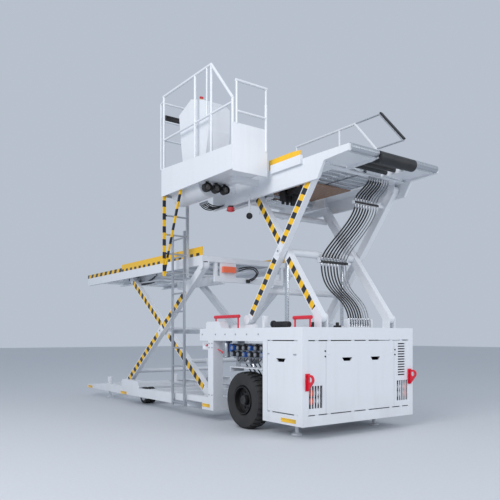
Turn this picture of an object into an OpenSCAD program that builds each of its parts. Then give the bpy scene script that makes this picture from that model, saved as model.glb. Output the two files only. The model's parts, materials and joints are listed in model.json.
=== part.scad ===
// Aircraft cargo loader: a low chassis with a power module in front, a main platform on a
// scissor lift behind it, and a bridge with an operator platform on a second scissor lift.
// +X points to the aircraft, +Y to the left, +Z up. Millimetres.

/* [Chassis] */
// Width over the side rails
chassis_w = 2200; // [2160:10:2260]
// Height of the chassis underside above the ground
clear_h = 185; // [170:5:195]
// Rear end of the side rails, measured back from the power module's front face
rail_l = 7460; // [7350:10:7600]
// Web thickness of the side rails
rail_t = 12; // [8:1:16]

/* [Power module] */
// Length of the power module
module_l = 840; // [780:10:860]
// Height of the module's top above the ground
module_top = 1480; // [1440:10:1500]
// Half width of the front lift-off panel
front_panel_hw = 680; // [660:10:700]

/* [Wheels] */
// Front axle, measured back from the module's front face
axle_x = 1340; // [1320:10:1360]
// Front tyre diameter
tyre_d = 840; // [780:10:850]
// Front tyre width
tyre_w = 260; // [220:10:280]
// Front rim diameter
rim_d = 400; // [380:10:420]
// Rear twin tyre diameter
rear_tyre_d = 330; // [310:10:350]

/* [Rear lift] */
// Front pivots, measured back from the module's front face
main_x = 2660; // [2650:10:2700]
// Height of the low pivots
main_low = 400; // [395:5:410]
// Height between the low and the high pivots at rest
main_rise = 2130; // [2000:10:2200]
// Distance between the front and the rear pivots at rest
main_span = 2960; // [2900:10:3000]
// Depth of a leg
main_leg_d = 130; // [110:5:140]
// Thickness of a leg
main_leg_w = 90; // [80:2:92]

/* [Main platform] */
// Rear end, measured back from the module's front face
platform_back = 7700; // [7600:10:7800]
// Height of the guide boards above the rollers
guide_h = 145; // [100:5:180]
// Distance between rollers
main_pitch = 200; // [160:10:240]

/* [Bridge lift] */
// Front pivots, measured back from the module's front face
bridge_x = 100; // [90:5:120]
// Height of the low pivots above the module's top
bridge_low = 130; // [125:5:140]
// Height between the low and the high pivots at rest
bridge_rise = 1920; // [1850:10:1960]
// Distance between the front and the rear pivots at rest
bridge_span = 1420; // [1380:10:1440]
// Depth of a leg
bridge_leg_d = 120; // [100:5:126]
// Thickness of a leg
bridge_leg_w = 100; // [90:2:104]

/* [Bridge] */
// Reach of the front rolls ahead of the module's front face
bridge_reach = 590; // [560:5:620]
// Half width of the bridge over its side beams
bridge_hw = 887; // [880:1:900]
// Height of the handrail above the rollers
rail_h = 1040; // [1000:10:1100]

/* [Operator platform] */
// Length
op_l = 2030; // [1980:10:2060]
// Width
op_w = 580; // [540:10:620]
// Height of the top rail above the floor
op_rail_h = 1560; // [1500:10:1600]
// Distance between ladder rungs
rung_pitch = 310; // [280:5:330]

/* [Hidden] */
$fn = 48;

white = [0.93, 0.94, 0.96];
yellow = [0.98, 0.76, 0.05];
steel = [0.72, 0.74, 0.77];
rubber = [0.10, 0.10, 0.11];
red = [0.82, 0.06, 0.10];
orange = [0.95, 0.45, 0.05];

// Gaps: between moving pieces, round turning shafts, round lift pins
gap = 10;
shaft_gap = 0.05;
pin_gap = 1;

// Chassis
hw = chassis_w / 2;
x_back = -rail_l;
column_x = [-main_x + 390, -main_x + 545];
column_w = 180;
column_foot = [clear_h, 390];
flange_w = 140;
flange_t = 15;
beam_h = 120;
beam_z = [clear_h, clear_h + beam_h];
rail_web_y = [hw - rail_t, hw];
rail_in = hw - rail_t;
rail_top_front = 390;
rail_top_mid = 340;
rail_top_back = 256;
roller_box_x = [-5580, -4770];
roller_box_top = 485;
rail_lip = 98;
beam_l = 100;

// Power module
x_module = -module_l;
post = 100;
sill_z = [clear_h, clear_h + 135];
ring_z = [module_top - 170, module_top];
panel_x = [-25, -5];
panel_seam = 5;
// Gap over and under the panels, bridged by short tabs
panel_gap = 14;
panel_z = [sill_z[1] + panel_gap, ring_z[0] - panel_gap];
tab_w = 60;
grip_w = 200;
grip_h = 48;
grip_z = ring_z[0] - 262;
latch_z = grip_z + 82;
latch_r = 15;
sheet = 12;
side_beam_z = [module_top - 190, module_top];
side_beam_y = [730, hw];
// Length of the side beams behind the columns
beam_tail = 250;
// Raised bracket on a side beam: x from the column's back, z from the module's top
hump_h = 110;
hump = [[-60, 0], [-60, 90], [-20, hump_h], [310, hump_h], [390, 0]];

// Tow hooks
hook_y = hw - 80;
hook_x = 64;
hook_z = 800;
hook_r = 62;
hook_bore = 35;
hook_t = 24;
hook_plate = 14;

// Front wheels
wheel_z = tyre_d / 2;
king_y = hw - 180;
tyre_y = [hw - tyre_w, hw];
yoke_h = 85;
yoke_t = 25;
boss_r = 38;
king_r = 20;
stub_r = 30;
spine_y = [400, 520];
spine_z = [300, 480];
axle_r = 55;
guard_gap = 50;
guard_t = 10;

// Rear wheels
rear_x = -5180;
rear_z = rear_tyre_d / 2;
rear_axle_r = 30;
rear_tyre_w = 100;
rear_tyre_y = [590, 710];
rear_plate_y = [545, 830];
rear_plate_t = 25;
rear_bay = 250;

// Jacks
jack_front = [-480, 780];
jack_back = [-6800, 830];
jack_r = 27;
jack_foot_r = 75;
jack_housing_r = 55;
jack_housing_top = 450;

// Rear lift, with p as [x, z]
main_oy = hw - 170;
main_iy = main_oy - main_leg_w - 20;
main_a = [-main_x, main_low];
main_b = [-main_x - main_span, main_low];
main_c = [-main_x, main_low + main_rise];
main_d = [-main_x - main_span, main_low + main_rise];
main_mid = (main_a + main_d) / 2;
main_pin_r = 30;
main_roll_r = 62;
main_tube_r = 60;
// Places along a leg: from the front low pivot for the inner legs, from the rear low one for the outer
main_ram_u = 700;
main_ram_w = 100;
main_tie_u = 438;
main_ram_y = 450;
main_ram_base = main_a + [-240, -170];
clevis_r = 45;
clevis_gap = 70;

// Main platform
skirt_t = 15;
platform_hw = main_oy + main_leg_w / 2 + gap + skirt_t;
deck_z = main_c[1] + 170;
platform_x = [-platform_back, -main_x + 50];
frame_z = [main_c[1] + 75, deck_z - 60];
main_track_x = [-6420, -4570];
// Cross frame under the platform's front end
front_frame_x = [platform_x[1] - 70, platform_x[1] - 10];
front_frame_y = main_iy - main_leg_w / 2 - 35;
front_low_z = [main_c[1] - 250, main_c[1] - 160];
main_lamp_y = [-600, -350];

// Bridge lift
web_t = 40;
bridge_oy = bridge_hw - web_t - 7 - bridge_leg_w / 2;
bridge_iy = bridge_oy - bridge_leg_w - 10;
bridge_a = [-bridge_x, module_top + bridge_low];
bridge_b = [-bridge_x - bridge_span, module_top + bridge_low];
bridge_c = [-bridge_x, bridge_a[1] + bridge_rise];
bridge_d = [-bridge_x - bridge_span, bridge_a[1] + bridge_rise];
bridge_mid = (bridge_a + bridge_d) / 2;
bridge_pin_r = 28;
bridge_roll_r = 70;
bridge_tube_r = 55;
bridge_ram_u = 1300;
bridge_ram_w = -100;
bridge_ram_y = 565;
bridge_ram_base = [-950, 520];
bridge_roll_x = [-2500, -1300];

// Bridge
bridge_floor = bridge_c[1] + 205;
bridge_bx = [-2450, bridge_reach];
bridge_bz = [bridge_c[1] - 120, bridge_floor];
bridge_top_z = [bridge_c[1] + 78, bridge_c[1] + 94];
bridge_step_x = 60;
tray_d = 115;
web_y = [bridge_hw - web_t, bridge_hw];
bridge_track_x = [-2480, -1310];
belt_r = 80;
roll_r = 50;
roll_arm_y = [344, 358];
bridge_panel_x = [-1600, -700];
bridge_panel_hw = 500;
guide_x = [-973, -290];
bridge_pitch = 150;
// Rail tube, the guard's bar that slides in it, and the slant of their front ends
rail_y = bridge_hw - 30;
rail_z = [bridge_floor + rail_h * 0.5, bridge_floor + rail_h];
rail_x = [-2400, -950];
guard_r = 13;
guard_x = [-1850, -430];
guard_slope = 1.156;

// Operator platform
op_gap = 20;
op_in = max(platform_hw, bridge_hw) + op_gap;
op_y = [-op_in - op_w, -op_in];
op_x = [-870 - op_l, -870];
op_floor = bridge_c[1] + 170;
op_skirt_z = [bridge_c[1] + 100, op_floor + 380];
tube_r = 20;
op_sheet = 12;
ladder_x = [-main_x - 720, -main_x - 270];
skirt_fall = 115;
op_apex_x = op_x[0] + 1460;

// Overall box, which centres the origin
x_front = bridge_reach + belt_r;
function mid(a, b) = (a + b) / 2;

// Unit vector along a leg and the one square to it, in the XZ plane
function along(a, b) = (b - a) / norm(b - a);
function upward(v) = v[0] < 0 ? [v[1], -v[0]] : [-v[1], v[0]];
// Point at distance u from a towards b and w above the line
function on_leg(a, b, u, w) = a + u * along(a, b) + w * upward(along(a, b));
function angle_of(v) = atan2(v[1], v[0]);

main_ram_pin = on_leg(main_a, main_d, main_ram_u, main_ram_w);
main_ram_tube = on_leg(main_a, main_d, main_ram_u + 120, main_ram_w / 2);
bridge_ram_pin = on_leg(bridge_a, bridge_d, bridge_ram_u, bridge_ram_w);

// Small shapes

module bx(x, y, z) {
    translate([x[0], y[0], z[0]]) cube([x[1] - x[0], y[1] - y[0], z[1] - z[0]]);
}

module sides() {
    children();
    mirror([0, 1, 0]) children();
}

module rod_x(x, y, z, r) {
    translate([x[0], y, z]) rotate([0, 90, 0]) cylinder(r = r, h = x[1] - x[0]);
}

module rod_y(p, y, r) {
    translate([p[0], y[0], p[1]]) rotate([-90, 0, 0]) cylinder(r = r, h = y[1] - y[0]);
}

module rod_z(x, y, z, r) {
    translate([x, y, z[0]]) cylinder(r = r, h = z[1] - z[0]);
}

// Straight bar of round section between two points
module bar(a, b, r) {
    d = b - a;
    translate(a) rotate([0, acos(d[2] / norm(d)), atan2(d[1], d[0])]) cylinder(r = r, h = norm(d));
}

// Outline in the XZ plane, given thickness from y[0] to y[1]
module plate_y(y) {
    translate([0, y[1], 0]) rotate([90, 0, 0]) linear_extrude(y[1] - y[0]) children();
}

// Outline in the YZ plane, given thickness from x[0] to x[1]
module plate_x(x) {
    translate([x[0], 0, 0]) rotate([90, 0, 90]) linear_extrude(x[1] - x[0]) children();
}

module leg_outline(a, b, depth, end_r) {
    translate(a) rotate(angle_of(b - a)) {
        translate([0, -depth / 2]) square([norm(b - a), depth]);
        circle(end_r);
        translate([norm(b - a), 0]) circle(end_r);
    }
}

module hole(p, r) {
    translate(p) circle(r);
}

function span(centre, width) = [centre - width / 2, centre + width / 2];

// Lug plate round a pin: a round end and a straight foot up or down to the height z
module lug(p, r, z) {
    hole(p, r);
    translate([p[0] - r, min(p[1], z)]) square([2 * r, abs(z - p[1])]);
}

// Ring section of a wheel along Y
module wheel_ring(y, r_in, r_out) {
    translate([0, y[0], 0]) rotate([-90, 0, 0]) rotate_extrude()
        translate([r_in, 0]) square([r_out - r_in, y[1] - y[0]]);
}

// Tyre with round shoulders along Y
module tyre_ring(y, r_in, r_out, shoulder) {
    w = y[1] - y[0];
    translate([0, y[0], 0]) rotate([-90, 0, 0]) rotate_extrude() {
        translate([r_in, 0]) square([r_out - shoulder - r_in, w]);
        translate([r_in, shoulder]) square([r_out - r_in, w - 2 * shoulder]);
        for (c = [shoulder, w - shoulder]) translate([r_out - shoulder, c]) circle(shoulder);
    }
}

// Hydraulic ram: cylinder barrel from its base pin, and the rod to its eye
module ram_barrel(base, pin, y, len, r, rod_r, eye_r, pin_r) {
    translate([base[0], y, base[1]]) rotate([0, -angle_of(pin - base), 0]) difference() {
        union() {
            rotate([0, 90, 0]) cylinder(r = r, h = len);
            translate([0, -r * 0.6, 0]) rotate([-90, 0, 0]) cylinder(r = eye_r, h = r * 1.2);
        }
        translate([eye_r + 8, 0, 0]) rotate([0, 90, 0]) cylinder(r = rod_r + shaft_gap, h = len);
        translate([0, -r, 0]) rotate([-90, 0, 0]) cylinder(r = pin_r + pin_gap / 2, h = 2 * r);
        for (s = [0, 1]) mirror([0, s, 0])
            translate([-eye_r, r * 0.6, -r - 1]) cube([eye_r + clevis_r + gap, r, 2 * r + 2]);
    }
}

module ram_rod(base, pin, y, len, r, eye_r, eye_w) {
    translate([pin[0], y, pin[1]]) rotate([0, -angle_of(pin - base), 0]) {
        translate([-len, 0, 0]) rotate([0, 90, 0]) cylinder(r = r, h = len);
        translate([0, -eye_w / 2, 0]) rotate([-90, 0, 0]) cylinder(r = eye_r, h = eye_w);
    }
}

// Fork on a leg for a rod's eye: two plates from the cross tube, with the pin's heads outside
module rod_fork(tube, pin, y, gap_w, plate, depth, head_r) {
    for (s = [-1, 1]) {
        plate_y(span(y + s * (gap_w + plate) / 2, plate)) leg_outline(tube, pin, depth, depth / 2);
        rod_y(pin, span(y + s * (gap_w / 2 + plate + 6), 12), head_r);
    }
}

// Chassis behind the module

module rail_outline() {
    polygon([[x_back, clear_h], [x_back, rail_top_back], [main_track_x[0], rail_top_mid],
        [roller_box_x[0], rail_top_mid], [roller_box_x[0] + 30, roller_box_top],
        [roller_box_x[1] - 90, roller_box_top], [roller_box_x[1], rail_top_mid],
        [column_x[0], rail_top_front], [column_x[0], clear_h]]);
}

// Top lip of a rail, left out where the lift's rollers run, with the cover over their box
module rail_lip_outline() {
    intersection() {
        difference() {
            rail_outline();
            translate([0, -flange_t]) rail_outline();
        }
        for (x = [[x_back, main_track_x[0]], [roller_box_x[0] + 40, roller_box_x[1] - 100],
            [main_track_x[1], column_x[0]]])
            translate([x[0], 0]) square([x[1] - x[0], 2 * roller_box_top]);
    }
}

module cross_beam(x, z) {
    bx(x, [-rail_in, rail_in], z);
}

module rear_wheel_plates(y) {
    plate_y([y, y + rear_plate_t]) difference() {
        translate([rear_x - rear_bay, rear_z - 50])
            square([2 * rear_bay, beam_z[1] - rear_z + 50]);
        hole([rear_x, rear_z], rear_axle_r);
    }
}

module main_lugs() {
    for (y = [main_iy - main_leg_w / 2 - 18, main_iy + main_leg_w / 2 + 4])
        plate_y([y, y + 14]) lug(main_a, 70, beam_z[0]);
    rod_y(main_a, [main_iy - main_leg_w / 2 - 18, main_iy + main_leg_w / 2 + 18], main_pin_r);
}

module ram_clevis(base, y, gap_w, plate, r, z, pin_r) {
    for (s = [-1, 1])
        plate_y(span(y + s * (gap_w + plate) / 2, plate)) lug(base, r, z);
    rod_y(base, span(y, gap_w + 2 * plate), pin_r);
}

module rear_frame() {
    color(white) difference() {
        union() {
            sides() {
                plate_y(rail_web_y) rail_outline();
                bx([x_back, column_x[0]], [hw - flange_w, rail_in], [clear_h, clear_h + flange_t]);
                plate_y([rail_in - rail_lip, rail_in]) rail_lip_outline();
                bx(main_track_x, [main_oy + main_leg_w / 2 + gap, rail_in],
                    [main_low - main_roll_r - 21, main_low - main_roll_r - 6]);
                main_lugs();
                for (y = rear_plate_y) rear_wheel_plates(y);
                rod_z(jack_back[0], jack_back[1], [clear_h, jack_housing_top], jack_housing_r);
                ram_clevis(main_ram_base, main_ram_y, clevis_gap, 14, clevis_r, beam_z[0], 22);
                for (s = [-1, 1])
                    bx([main_ram_base[0], main_ram_base[0] + 60],
                        span(main_ram_y + s * (clevis_gap + 14) / 2, 14), [clear_h, main_ram_base[1]]);
            }
            bx([x_back, x_back + 60], [-rail_in, rail_in], [clear_h, rail_top_back]);
            cross_beam([jack_back[0] - 60, jack_back[0] + 60], [clear_h, clear_h + 90]);
            cross_beam([rear_x - rear_bay - 100, rear_x - rear_bay], beam_z);
            cross_beam([rear_x + rear_bay, rear_x + rear_bay + 100], beam_z);
            cross_beam(span(main_mid[0], beam_l), beam_z);
            cross_beam([main_ram_base[0] + 60, main_a[0] + 75], beam_z);
        }
        sides() rod_z(jack_back[0], jack_back[1], [0, jack_housing_top - 20], jack_r + shaft_gap);
    }
}

// Frame between the rear chassis and the module

module front_frame() {
    color(white) difference() {
        union() {
            sides() {
                bx(column_x, [hw - column_w, hw], [clear_h, side_beam_z[0]]);
                bx([column_x[0] - beam_tail, x_module], side_beam_y, side_beam_z);
                bx(bridge_roll_x, [bridge_oy + bridge_leg_w / 2 + 2, bridge_oy + bridge_leg_w / 2 + 52],
                    [module_top, module_top + bridge_low - bridge_roll_r - 6]);
                plate_y([hw - 150, hw]) polygon([for (p = hump) [column_x[0] + p[0], module_top + p[1]]]);
                bx([column_x[1], x_module], spine_y, spine_z);
                bx([bridge_ram_base[0] - 60, bridge_ram_base[0] + 60],
                    [spine_y[1], bridge_ram_y + 47], [spine_z[1] - 40, spine_z[1] - 25]);
                ram_clevis(bridge_ram_base, bridge_ram_y, clevis_gap, 12, clevis_r, spine_z[1] - 40, 25);
            }
            bx(column_x, [-hw + column_w, hw - column_w], column_foot);
            bx(column_x, [-side_beam_y[0], side_beam_y[0]], [side_beam_z[0], side_beam_z[0] + 120]);
        }
        sides() rod_y([-axle_x, wheel_z], [spine_y[0] - 1, spine_y[1] + 1], axle_r);
    }
}

// Power module

module module_frame() {
    color(white) difference() {
        union() {
            sides() {
                for (x = [[-post, 0], [x_module, x_module + post]])
                    bx(x, [hw - post, hw], [clear_h, module_top]);
                for (z = [sill_z, ring_z])
                    bx([x_module + post, -post], [hw - 60, hw], z);
                for (y = [bridge_iy - bridge_leg_w / 2 - 18, bridge_iy + bridge_leg_w / 2 + 4])
                    plate_y([y, y + 14]) lug(bridge_a, 65, module_top - 20);
                rod_y(bridge_a, [bridge_iy - bridge_leg_w / 2 - 18, bridge_iy + bridge_leg_w / 2 + 18],
                    bridge_pin_r);
            }
            for (z = [sill_z, ring_z])
                bx([-60, 0], [-hw + post, hw - post], z);
            bx([x_module, 0], [-hw + 60, hw - 60], [module_top - 20, module_top]);
            bx([x_module, 0], [-hw + 60, hw - 60], [clear_h, clear_h + sheet]);
            bx([x_module, x_module + sheet], [-hw + post, hw - post], [clear_h, module_top]);
        }
        sides() rod_z(jack_front[0], jack_front[1], [0, clear_h + 100], jack_r + shaft_gap);
    }
}

// Hand hole, wider at its top
module grip_outline() {
    polygon([[-grip_w / 2, grip_h / 2], [grip_w / 2, grip_h / 2],
        [grip_w / 2 - 34, -grip_h / 2], [34 - grip_w / 2, -grip_h / 2]]);
}

// Tabs at the top and the bottom of a panel in the front face
module front_tabs(places) {
    for (y = places) for (z = [[sill_z[1], panel_z[0]], [panel_z[1], ring_z[0]]])
        bx([panel_x[0], panel_x[1] - 5], span(y, tab_w), z);
}

front_tab_y = front_panel_hw - tab_w;
front_grip_y = 283;
front_latch_y = front_panel_hw - 45;

module front_panel() {
    color(white) {
        difference() {
            bx(panel_x, [-front_panel_hw, front_panel_hw], panel_z);
            for (y = [-front_grip_y, front_grip_y])
                plate_x([panel_x[0] - 1, panel_x[1] + 1]) translate([y, grip_z]) grip_outline();
        }
        front_tabs([-front_tab_y, -170, 115, front_tab_y]);
        for (s = [-1, 1]) rod_x([panel_x[1], panel_x[1] + 6], s * front_latch_y, latch_z, latch_r);
    }
}

// Window with upright bars in a narrow panel, for the lamps behind it
lamp_y = [front_panel_hw + 65, hw - post - 15];
lamp_z = [sill_z[1] + 95, sill_z[1] + 390];

module narrow_panel() {
    y = [front_panel_hw + panel_seam, hw - post];
    difference() {
        bx(panel_x, y, panel_z);
        bx([panel_x[0] - 1, 0], lamp_y, lamp_z);
    }
    front_tabs([mid(y[0], y[1])]);
    bars = 4;
    for (i = [1 : bars])
        bx([-20, -8], span(lamp_y[0] + i * (lamp_y[1] - lamp_y[0]) / (bars + 1), 16),
            [lamp_z[0] - 5, lamp_z[1] + 5]);
}

module lamp_panel() {
    color(white) mirror([0, 1, 0]) narrow_panel();
}

module louvre_panel() {
    slots = 13;
    pitch = 38;
    slot_h = 18;
    slot_y = span(mid(lamp_y[0], lamp_y[1]) - 20, 156);
    color(white) difference() {
        narrow_panel();
        for (i = [0 : slots - 1])
            bx([panel_x[0] - 1, 0], slot_y, [lamp_z[1] + 75 + i * pitch, lamp_z[1] + 75 + slot_h + i * pitch]);
    }
}

module side_panels() {
    x = [x_module + post, -post];
    y = [hw - 35, hw - 15];
    color(white) sides() {
        difference() {
            bx(x, y, panel_z);
            plate_y([y[0] - 1, y[1] + 1]) translate([mid(x[0], x[1]) - 40, grip_z - 10]) grip_outline();
        }
        for (tab_x = [x[0] + tab_w, x[1] - tab_w]) for (z = [[sill_z[1], panel_z[0]], [panel_z[1], ring_z[0]]])
            bx(span(tab_x, tab_w), [y[0], y[1] - 5], z);
        for (latch_x = [x[0] + 30, x[1] - 70]) rod_y([latch_x, latch_z], [y[1], y[1] + 6], latch_r);
    }
}

module front_lamps() {
    lamp_r = 46;
    color(orange) sides() {
        bx([-60, -48], lamp_y, [sill_z[1], lamp_z[1]]);
        for (y = [lamp_y[0] + 65, lamp_y[1] - 55]) for (z = [lamp_z[0] + 95, lamp_z[0] + 200])
            rod_x([-48, -30], y, z, lamp_r);
    }
}

module tow_hooks() {
    color(red) sides() {
        bx([0, hook_plate], span(hook_y, 70), [hook_z - 150, hook_z + 75]);
        plate_y(span(hook_y, hook_t)) difference() {
            union() {
                hole([hook_x, hook_z], hook_r);
                polygon([[hook_plate, hook_z - 145], [hook_plate + 12, hook_z - 145],
                    [hook_x + 0.9 * hook_r, hook_z - 0.43 * hook_r], [hook_x, hook_z + hook_r],
                    [hook_plate, hook_z + hook_r]]);
            }
            hole([hook_x, hook_z], hook_bore);
            translate([hook_x - 2 * hook_r, hook_z - 200])
                square([2 * hook_r - hook_x + hook_plate, 400]);
        }
    }
}

module engine_block() {
    color([0.35, 0.36, 0.38]) bx([x_module + 140, -180], [-520, 520], [clear_h + sheet, module_top - 330]);
}

// Manifold under the right side beam, with two rows of valve coils on its outer face
module valve_block() {
    x = [-axle_x - 410, x_module - 60];
    y = [-hw + 140, -hw + 320];
    z = [side_beam_z[0] - 270, side_beam_z[0] - 40];
    coils = 6;
    pitch = (x[1] - x[0] - 120) / (coils - 1);
    color([0.6, 0.62, 0.66]) {
        bx(x, y, z);
        for (hanger = [x[0] + 50, x[1] - 80])
            bx([hanger, hanger + 30], [y[0] + 30, y[1] - 30], [z[1] - 20, side_beam_z[0]]);
        for (i = [0 : coils - 1]) for (row = [70, 165])
            rod_y([x[0] + 60 + i * pitch, z[0] + row], [y[0] - 80, y[0]], 30);
    }
}

// Flat guards over the front wheels, with a turned-down rear edge
module mudguards() {
    x = -axle_x - 330;
    y = [hw - tyre_w - 10, hw - 15];
    z = tyre_d + guard_gap;
    color(white) sides() {
        bx([x, x_module], y, [z, z + guard_t]);
        bx([x, x + guard_t], y, [z - 60, z + guard_t]);
    }
}

module front_axle() {
    color([0.25, 0.26, 0.28]) {
        rod_y([-axle_x, wheel_z], [-king_y + 70, king_y - 70], axle_r);
        sides() {
            bx(span(-axle_x, 90), [king_y - 90, king_y - 60],
                [wheel_z - yoke_h - yoke_t, wheel_z + yoke_h + yoke_t]);
            for (s = [-1, 1])
                bx(span(-axle_x, 90), [king_y - 61, king_y + 30],
                    span(wheel_z + s * (yoke_h + yoke_t / 2), yoke_t));
            rod_z(-axle_x, king_y, [wheel_z - yoke_h - yoke_t, wheel_z + yoke_h + yoke_t], king_r);
        }
    }
}

module knuckle() {
    color([0.3, 0.31, 0.33]) difference() {
        union() {
            rod_z(-axle_x, king_y, [wheel_z - yoke_h + 5, wheel_z + yoke_h - 5], boss_r);
            rod_y([-axle_x, wheel_z], [king_y, hw - 60], stub_r);
        }
        rod_z(-axle_x, king_y, [0, 2 * wheel_z], king_r + shaft_gap);
    }
}

module knuckle_l() { knuckle(); }
module knuckle_r() { mirror([0, 1, 0]) knuckle(); }

module front_tyre() {
    color(rubber) translate([-axle_x, 0, wheel_z]) tyre_ring(tyre_y, rim_d / 2, tyre_d / 2, 50);
}

module front_rim() {
    color([0.12, 0.12, 0.13]) translate([-axle_x, 0, wheel_z]) {
        wheel_ring([tyre_y[0] + 5, tyre_y[1] - 5], rim_d / 2 - 10, rim_d / 2);
        wheel_ring([hw - 100, hw - 85], stub_r + shaft_gap, rim_d / 2 - 5);
        wheel_ring([hw - 115, hw - 40], stub_r + shaft_gap, 75);
    }
}

module front_tyre_l() { front_tyre(); }
module front_tyre_r() { mirror([0, 1, 0]) front_tyre(); }
module front_rim_l() { front_rim(); }
module front_rim_r() { mirror([0, 1, 0]) front_rim(); }

module rear_axle() {
    color([0.3, 0.31, 0.33])
        rod_y([rear_x, rear_z], [-rear_plate_y[1] - rear_plate_t - 20, rear_plate_y[1] + rear_plate_t + 20],
            rear_axle_r);
}

rear_rim_r = rear_tyre_d * 0.32;

module rear_tyres() {
    color(rubber) translate([rear_x, 0, rear_z]) for (y = rear_tyre_y)
        tyre_ring([y, y + rear_tyre_w], rear_rim_r, rear_tyre_d / 2, 18);
}

module rear_rims() {
    color(white) translate([rear_x, 0, rear_z]) {
        for (y = rear_tyre_y)
            wheel_ring([y + 3, y + rear_tyre_w - 3], rear_axle_r + shaft_gap + 20, rear_rim_r);
        wheel_ring([rear_tyre_y[0] - 10, rear_tyre_y[1] + rear_tyre_w + 10], rear_axle_r + shaft_gap,
            rear_axle_r + 25);
    }
}

module rear_tyres_l() { rear_tyres(); }
module rear_tyres_r() { mirror([0, 1, 0]) rear_tyres(); }
module rear_rims_l() { rear_rims(); }
module rear_rims_r() { mirror([0, 1, 0]) rear_rims(); }

// Jack leg with its round foot, side 1 is left and -1 right
module jack(place, side) {
    color(white) translate([place[0], side * place[1], 0]) rotate_extrude()
        polygon([[0, 0], [jack_foot_r, 0], [jack_foot_r, 18], [jack_r + 8, 34], [jack_r, 34],
            [jack_r, clear_h + 95], [0, clear_h + 95]]);
}

module jack_fr() { jack(jack_front, -1); }
module jack_fl() { jack(jack_front, 1); }
module jack_rr() { jack(jack_back, -1); }
module jack_rl() { jack(jack_back, 1); }

// Rear lift

module main_leg_inner() {
    color(white) {
        sides() {
            plate_y(span(main_iy, main_leg_w)) difference() {
                leg_outline(main_a, main_d, main_leg_d, 68);
                hole(main_a, main_pin_r + pin_gap);
            }
            rod_y(main_d, [main_iy - main_leg_w / 2 - 80, main_iy], main_roll_r);
            rod_y(main_mid, [main_iy, main_oy + main_leg_w / 2], 40);
            rod_fork(main_ram_tube, main_ram_pin, main_ram_y, clevis_gap, 14, 110, 30);
        }
        rod_y(main_mid, [-main_iy, main_iy], main_tube_r);
        rod_y(main_ram_tube, [-main_iy, main_iy], 40);
    }
}

module main_leg_outer() {
    color(white) {
        sides() {
            plate_y(span(main_oy, main_leg_w)) difference() {
                leg_outline(main_b, main_c, main_leg_d, 68);
                hole(main_mid, 40 + pin_gap);
                hole(main_c, main_pin_r + pin_gap);
            }
            rod_y(main_b, [main_oy, main_oy + main_leg_w / 2 + 85], main_roll_r);
        }
        rod_y(on_leg(main_b, main_c, main_tie_u, 0), [-main_oy, main_oy], 40);
    }
}

module main_barrels() {
    color(white) sides() ram_barrel(main_ram_base, main_ram_pin, main_ram_y, 470, 50, 30, 40, 22);
}

module main_rods() {
    color(steel) sides() ram_rod(main_ram_base, main_ram_pin, main_ram_y, 410, 30, 40, 56);
}

// Main platform

module main_track() {
    y = [main_iy - main_leg_w / 2 - 105, main_iy - main_leg_w / 2 - gap];
    z = main_c[1];
    bx(main_track_x, [y[0], y[0] + 12], [z - main_roll_r - 18, frame_z[0]]);
    bx(main_track_x, y, [z - main_roll_r - 18, z - main_roll_r - 6]);
    bx(main_track_x, y, [z + main_roll_r + 6, frame_z[0]]);
}

module main_frame() {
    inner = main_iy - main_leg_w / 2 - 105;
    skirt_y = [platform_hw - skirt_t, platform_hw];
    bays = 7;
    step = (platform_x[1] - platform_x[0] - beam_l) / bays;
    color(white) {
        sides() {
            bx(platform_x, skirt_y, [main_c[1] + 10, deck_z]);
            // Lower lip of the side channel, and a round end about the pivot
            bx([platform_x[0], main_track_x[0]], [skirt_y[0] - 60, skirt_y[0]], [main_c[1] + 10, main_c[1] + 25]);
            plate_y(skirt_y) lug(main_c, 65, frame_z[0]);
            bx(platform_x, [inner, skirt_y[0]], frame_z);
            main_track();
            y = main_oy - main_leg_w / 2 - 17;
            plate_y([y, y + 13]) lug(main_c, 65, frame_z[0]);
            rod_y(main_c, [y, platform_hw], main_pin_r);
            // Hangers of the front cross frame
            bx(front_frame_x, [front_frame_y - 50, front_frame_y], [front_low_z[1], frame_z[0]]);
        }
        for (i = [0 : bays])
            bx([platform_x[0] + i * step, platform_x[0] + i * step + beam_l], [-inner, inner], frame_z);
        bx(front_frame_x, [-front_frame_y, front_frame_y], front_low_z);
        bx([front_frame_x[1] - 12, front_frame_x[1]], main_lamp_y - [40, -40], [front_low_z[1], frame_z[0]]);
        bx([platform_x[1] - 12, platform_x[1]], [-platform_hw + skirt_t, platform_hw - skirt_t],
            [frame_z[1], deck_z - 5]);
    }
}

module main_lamp() {
    color(orange) bx([front_frame_x[1], front_frame_x[1] + 60], main_lamp_y, span(mid(front_low_z[1], frame_z[0]), 100));
}

module main_rollers() {
    rail_y = [60, platform_hw - 80];
    z = [frame_z[1], deck_z - 12];
    color(steel) sides() {
        for (y = rail_y) bx([platform_x[0] + 20, platform_x[1] - 20], [y, y + 12], z);
        for (x = [platform_x[0] + 120 : main_pitch : platform_x[1] - 60])
            rod_y([x, deck_z - 28], [rail_y[0], rail_y[1] + 12], 28);
    }
}

module main_guides() {
    striped = 1900;
    color(yellow) sides() {
        bx([platform_x[0], platform_x[0] + striped], [platform_hw - skirt_t, platform_hw],
            [deck_z, deck_z + guide_h * 0.55]);
        bx([platform_x[0] + striped, platform_x[1]], [platform_hw - skirt_t, platform_hw],
            [deck_z, deck_z + guide_h]);
    }
}

// Bridge lift

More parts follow.
